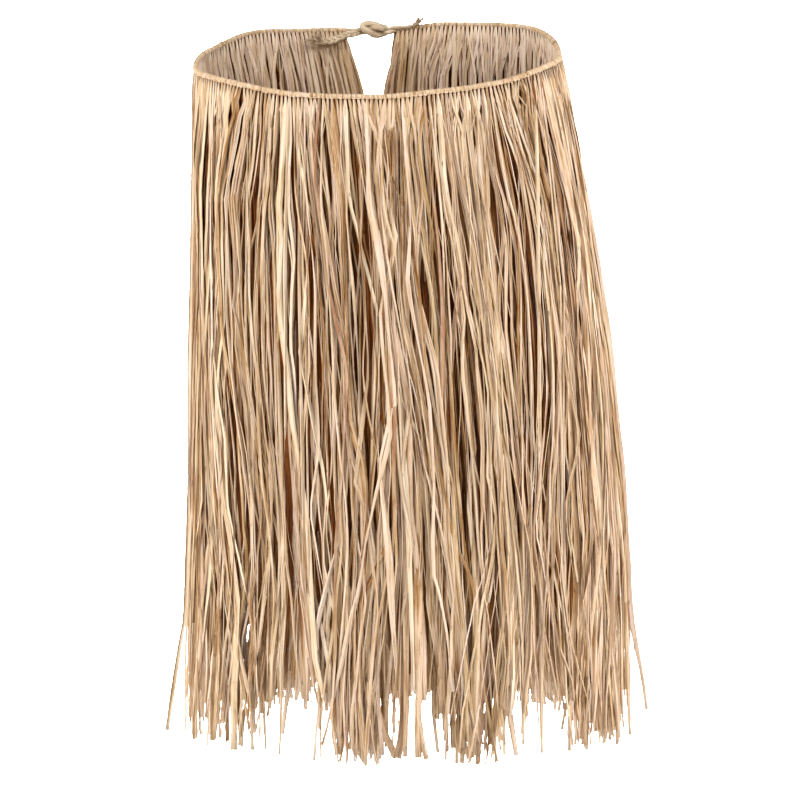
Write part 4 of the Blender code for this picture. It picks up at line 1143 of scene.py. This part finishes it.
def addLoops():
    rng = np.random.default_rng(loops["seed"])
    heads = fringe["heads"]
    middle = headAlong + rng.normal(0, 0.25, heads) * mm

    # wraps: from the front, over the cord and down behind it
    spacing = np.tile((-1, 1), heads) * loops["spacing"] * mm
    along = np.repeat(middle, 2) + spacing
    count = len(along)
    angle = np.radians(np.linspace(*loops["wrapTurn"], loops["levels"]))[None, :] + np.zeros((count, 1))
    skew = rng.normal(loops["wrapSkew"], loops["wrapSkew"], (count, 1)) * mm * np.cos(angle)
    # they draw together and grow narrow at both ends
    pinch = 1 - 0.40 * (1 - smoothStep(angle, -1.1, 0.3)) - 0.40 * smoothStep(angle, 2.9, 4.2)
    skew = skew - spacing[:, None] * (1 - pinch)
    x, y, tangent, outside = planFrame(along[:, None] + skew, 0 * angle)
    reach = cords["waistRadius"] + rng.uniform(0.25, 0.6, (count, 1)) * mm
    line = np.stack((x, y, cordHeight(x, y) + reach * np.sin(angle)), -1)
    line = line + outside * (reach * np.cos(angle))[..., None]
    half = loops["wrapWidth"] / 2 * mm * rng.uniform(0.85, 1.1, (count, 1))
    half = half * (1 - 0.45 * (1 - smoothStep(angle, -1.1, 0.2)) - 0.45 * smoothStep(angle, 3.0, 4.2))
    wraps = domedRibbons(line, -tangent, half, -0.1, 0.2)

    # bars: along the cord, across the two wraps, tucked in at both ends
    part = np.linspace(-1, 1, loops["levels"])[None, :] + np.zeros((heads, 1))
    x, y, tangent, outside = planFrame(middle[:, None] + part * loops["barReach"] * mm, 0 * part)
    below = (loops["barDrop"] + rng.normal(0, 0.2, (heads, 1)) + loops["barTilt"] * part) * mm
    out = cords["waistRadius"] + (0.75 - 1.5 * np.abs(part) ** 3 + rng.normal(0, 0.12, (heads, 1))) * mm
    line = np.stack((x, y, cordHeight(x, y) - below), -1) + outside * out[..., None]
    up = np.zeros_like(line) + (0, 0, 1)
    half = loops["barWidth"] / 2 * mm * (1 - 0.25 * np.abs(part)) * rng.uniform(0.85, 1.1, (heads, 1))
    bars = domedRibbons(line, up, half, -0.15, 0.30)

    corners = np.concatenate((wraps, bars))
    places = np.concatenate((np.repeat(headPlace, 2), headPlace))
    tone = np.zeros(corners.shape[:2] + (4,))
    chance = rng.random(len(corners))
    tone[..., 0] = np.clip(rng.normal(loops["tone"], 0.05, len(corners)), 0, 1)[:, None]
    tone[..., 1] = loops["rust"]
    tone[..., 2] = chance[:, None]
    across = roundRibbon * loops["wrapWidth"] + np.zeros((len(corners), 1))
    regions = (("loopsBackLeft", -1.2, -0.55), ("loopsFrontLeft", -0.55, 0.0), ("loopsFrontRight", 0.0, 0.55),
               ("loopsBackRight", 0.55, 1.2))
    for name, first, last in regions:
        mine = (places >= first) & (places < last)
        stripMesh(name, corners[mine], tone[mine], across[mine])
    print("loops made:", heads)


addLoops()


# studio: a pale floor where the wearer would stand, lit white behind the skirt, and soft lights in front
studio = {
    "floorHeight": -1.4,
    "floorSize": 40.0,
    "floorColour": "#f7f6f4",
    "floorRoughness": 0.9,
    "surround": 0.20,
    "lamps": (
        # name, place, aim, size, spread in degrees, power
        ("keyLamp", (-2.6, -2.0, 3.0), (0.03, 0.0, -0.15), 0.9, 180, 124),
        ("lowLamp", (-3.7, -1.2, 0.0), (0.03, 0.0, -0.40), 0.9, 180, 105),
        ("fillLamp", (2.8, -1.9, 2.6), (0.03, 0.0, -0.15), 0.9, 180, 108),
        ("sideLamp", (3.7, -1.1, 0.0), (0.03, 0.0, -0.40), 0.9, 180, 105),
        ("backdropLamp", (0.0, 4.3, 3.2), (0.0, 4.3, -1.4), 5.0, 55, 900),
    ),
}


def addStudio():
    reach = studio["floorSize"] / 2
    floorMesh = bpy.data.meshes.new("paperFloor")
    floorMesh.from_pydata([(-reach, -reach, 0), (reach, -reach, 0), (reach, reach, 0), (-reach, reach, 0)],
                          [], [(0, 1, 2, 3)])
    floor = placed("paperFloor", floorMesh)
    floor.location.z = studio["floorHeight"]
    paper = bpy.data.materials.new("matteWhitePaper")
    paper.use_nodes = True
    shader = paper.node_tree.nodes["Principled BSDF"]
    shader.inputs["Base Color"].default_value = linearColour(studio["floorColour"])
    shader.inputs["Roughness"].default_value = studio["floorRoughness"]
    floorMesh.materials.append(paper)
    world = bpy.data.worlds.new("whiteSurround")
    world.use_nodes = True
    surround = world.node_tree.nodes["Background"]
    surround.inputs["Color"].default_value = (1, 1, 1, 1)
    surround.inputs["Strength"].default_value = studio["surround"]
    bpy.context.scene.world = world
    for name, where, aim, size, spread, power in studio["lamps"]:
        lamp = placed(name, bpy.data.lights.new(name, "AREA"))
        lamp.data.shape = "DISK"
        lamp.data.size = size
        lamp.data.spread = math.radians(spread)
        lamp.data.energy = power
        lamp.location = where
        lamp.rotation_euler = (Vector(aim) - Vector(where)).to_track_quat("-Z", "Y").to_euler()
    bpy.context.scene.view_settings.view_transform = "Standard"


addStudio()
print("studio lit")
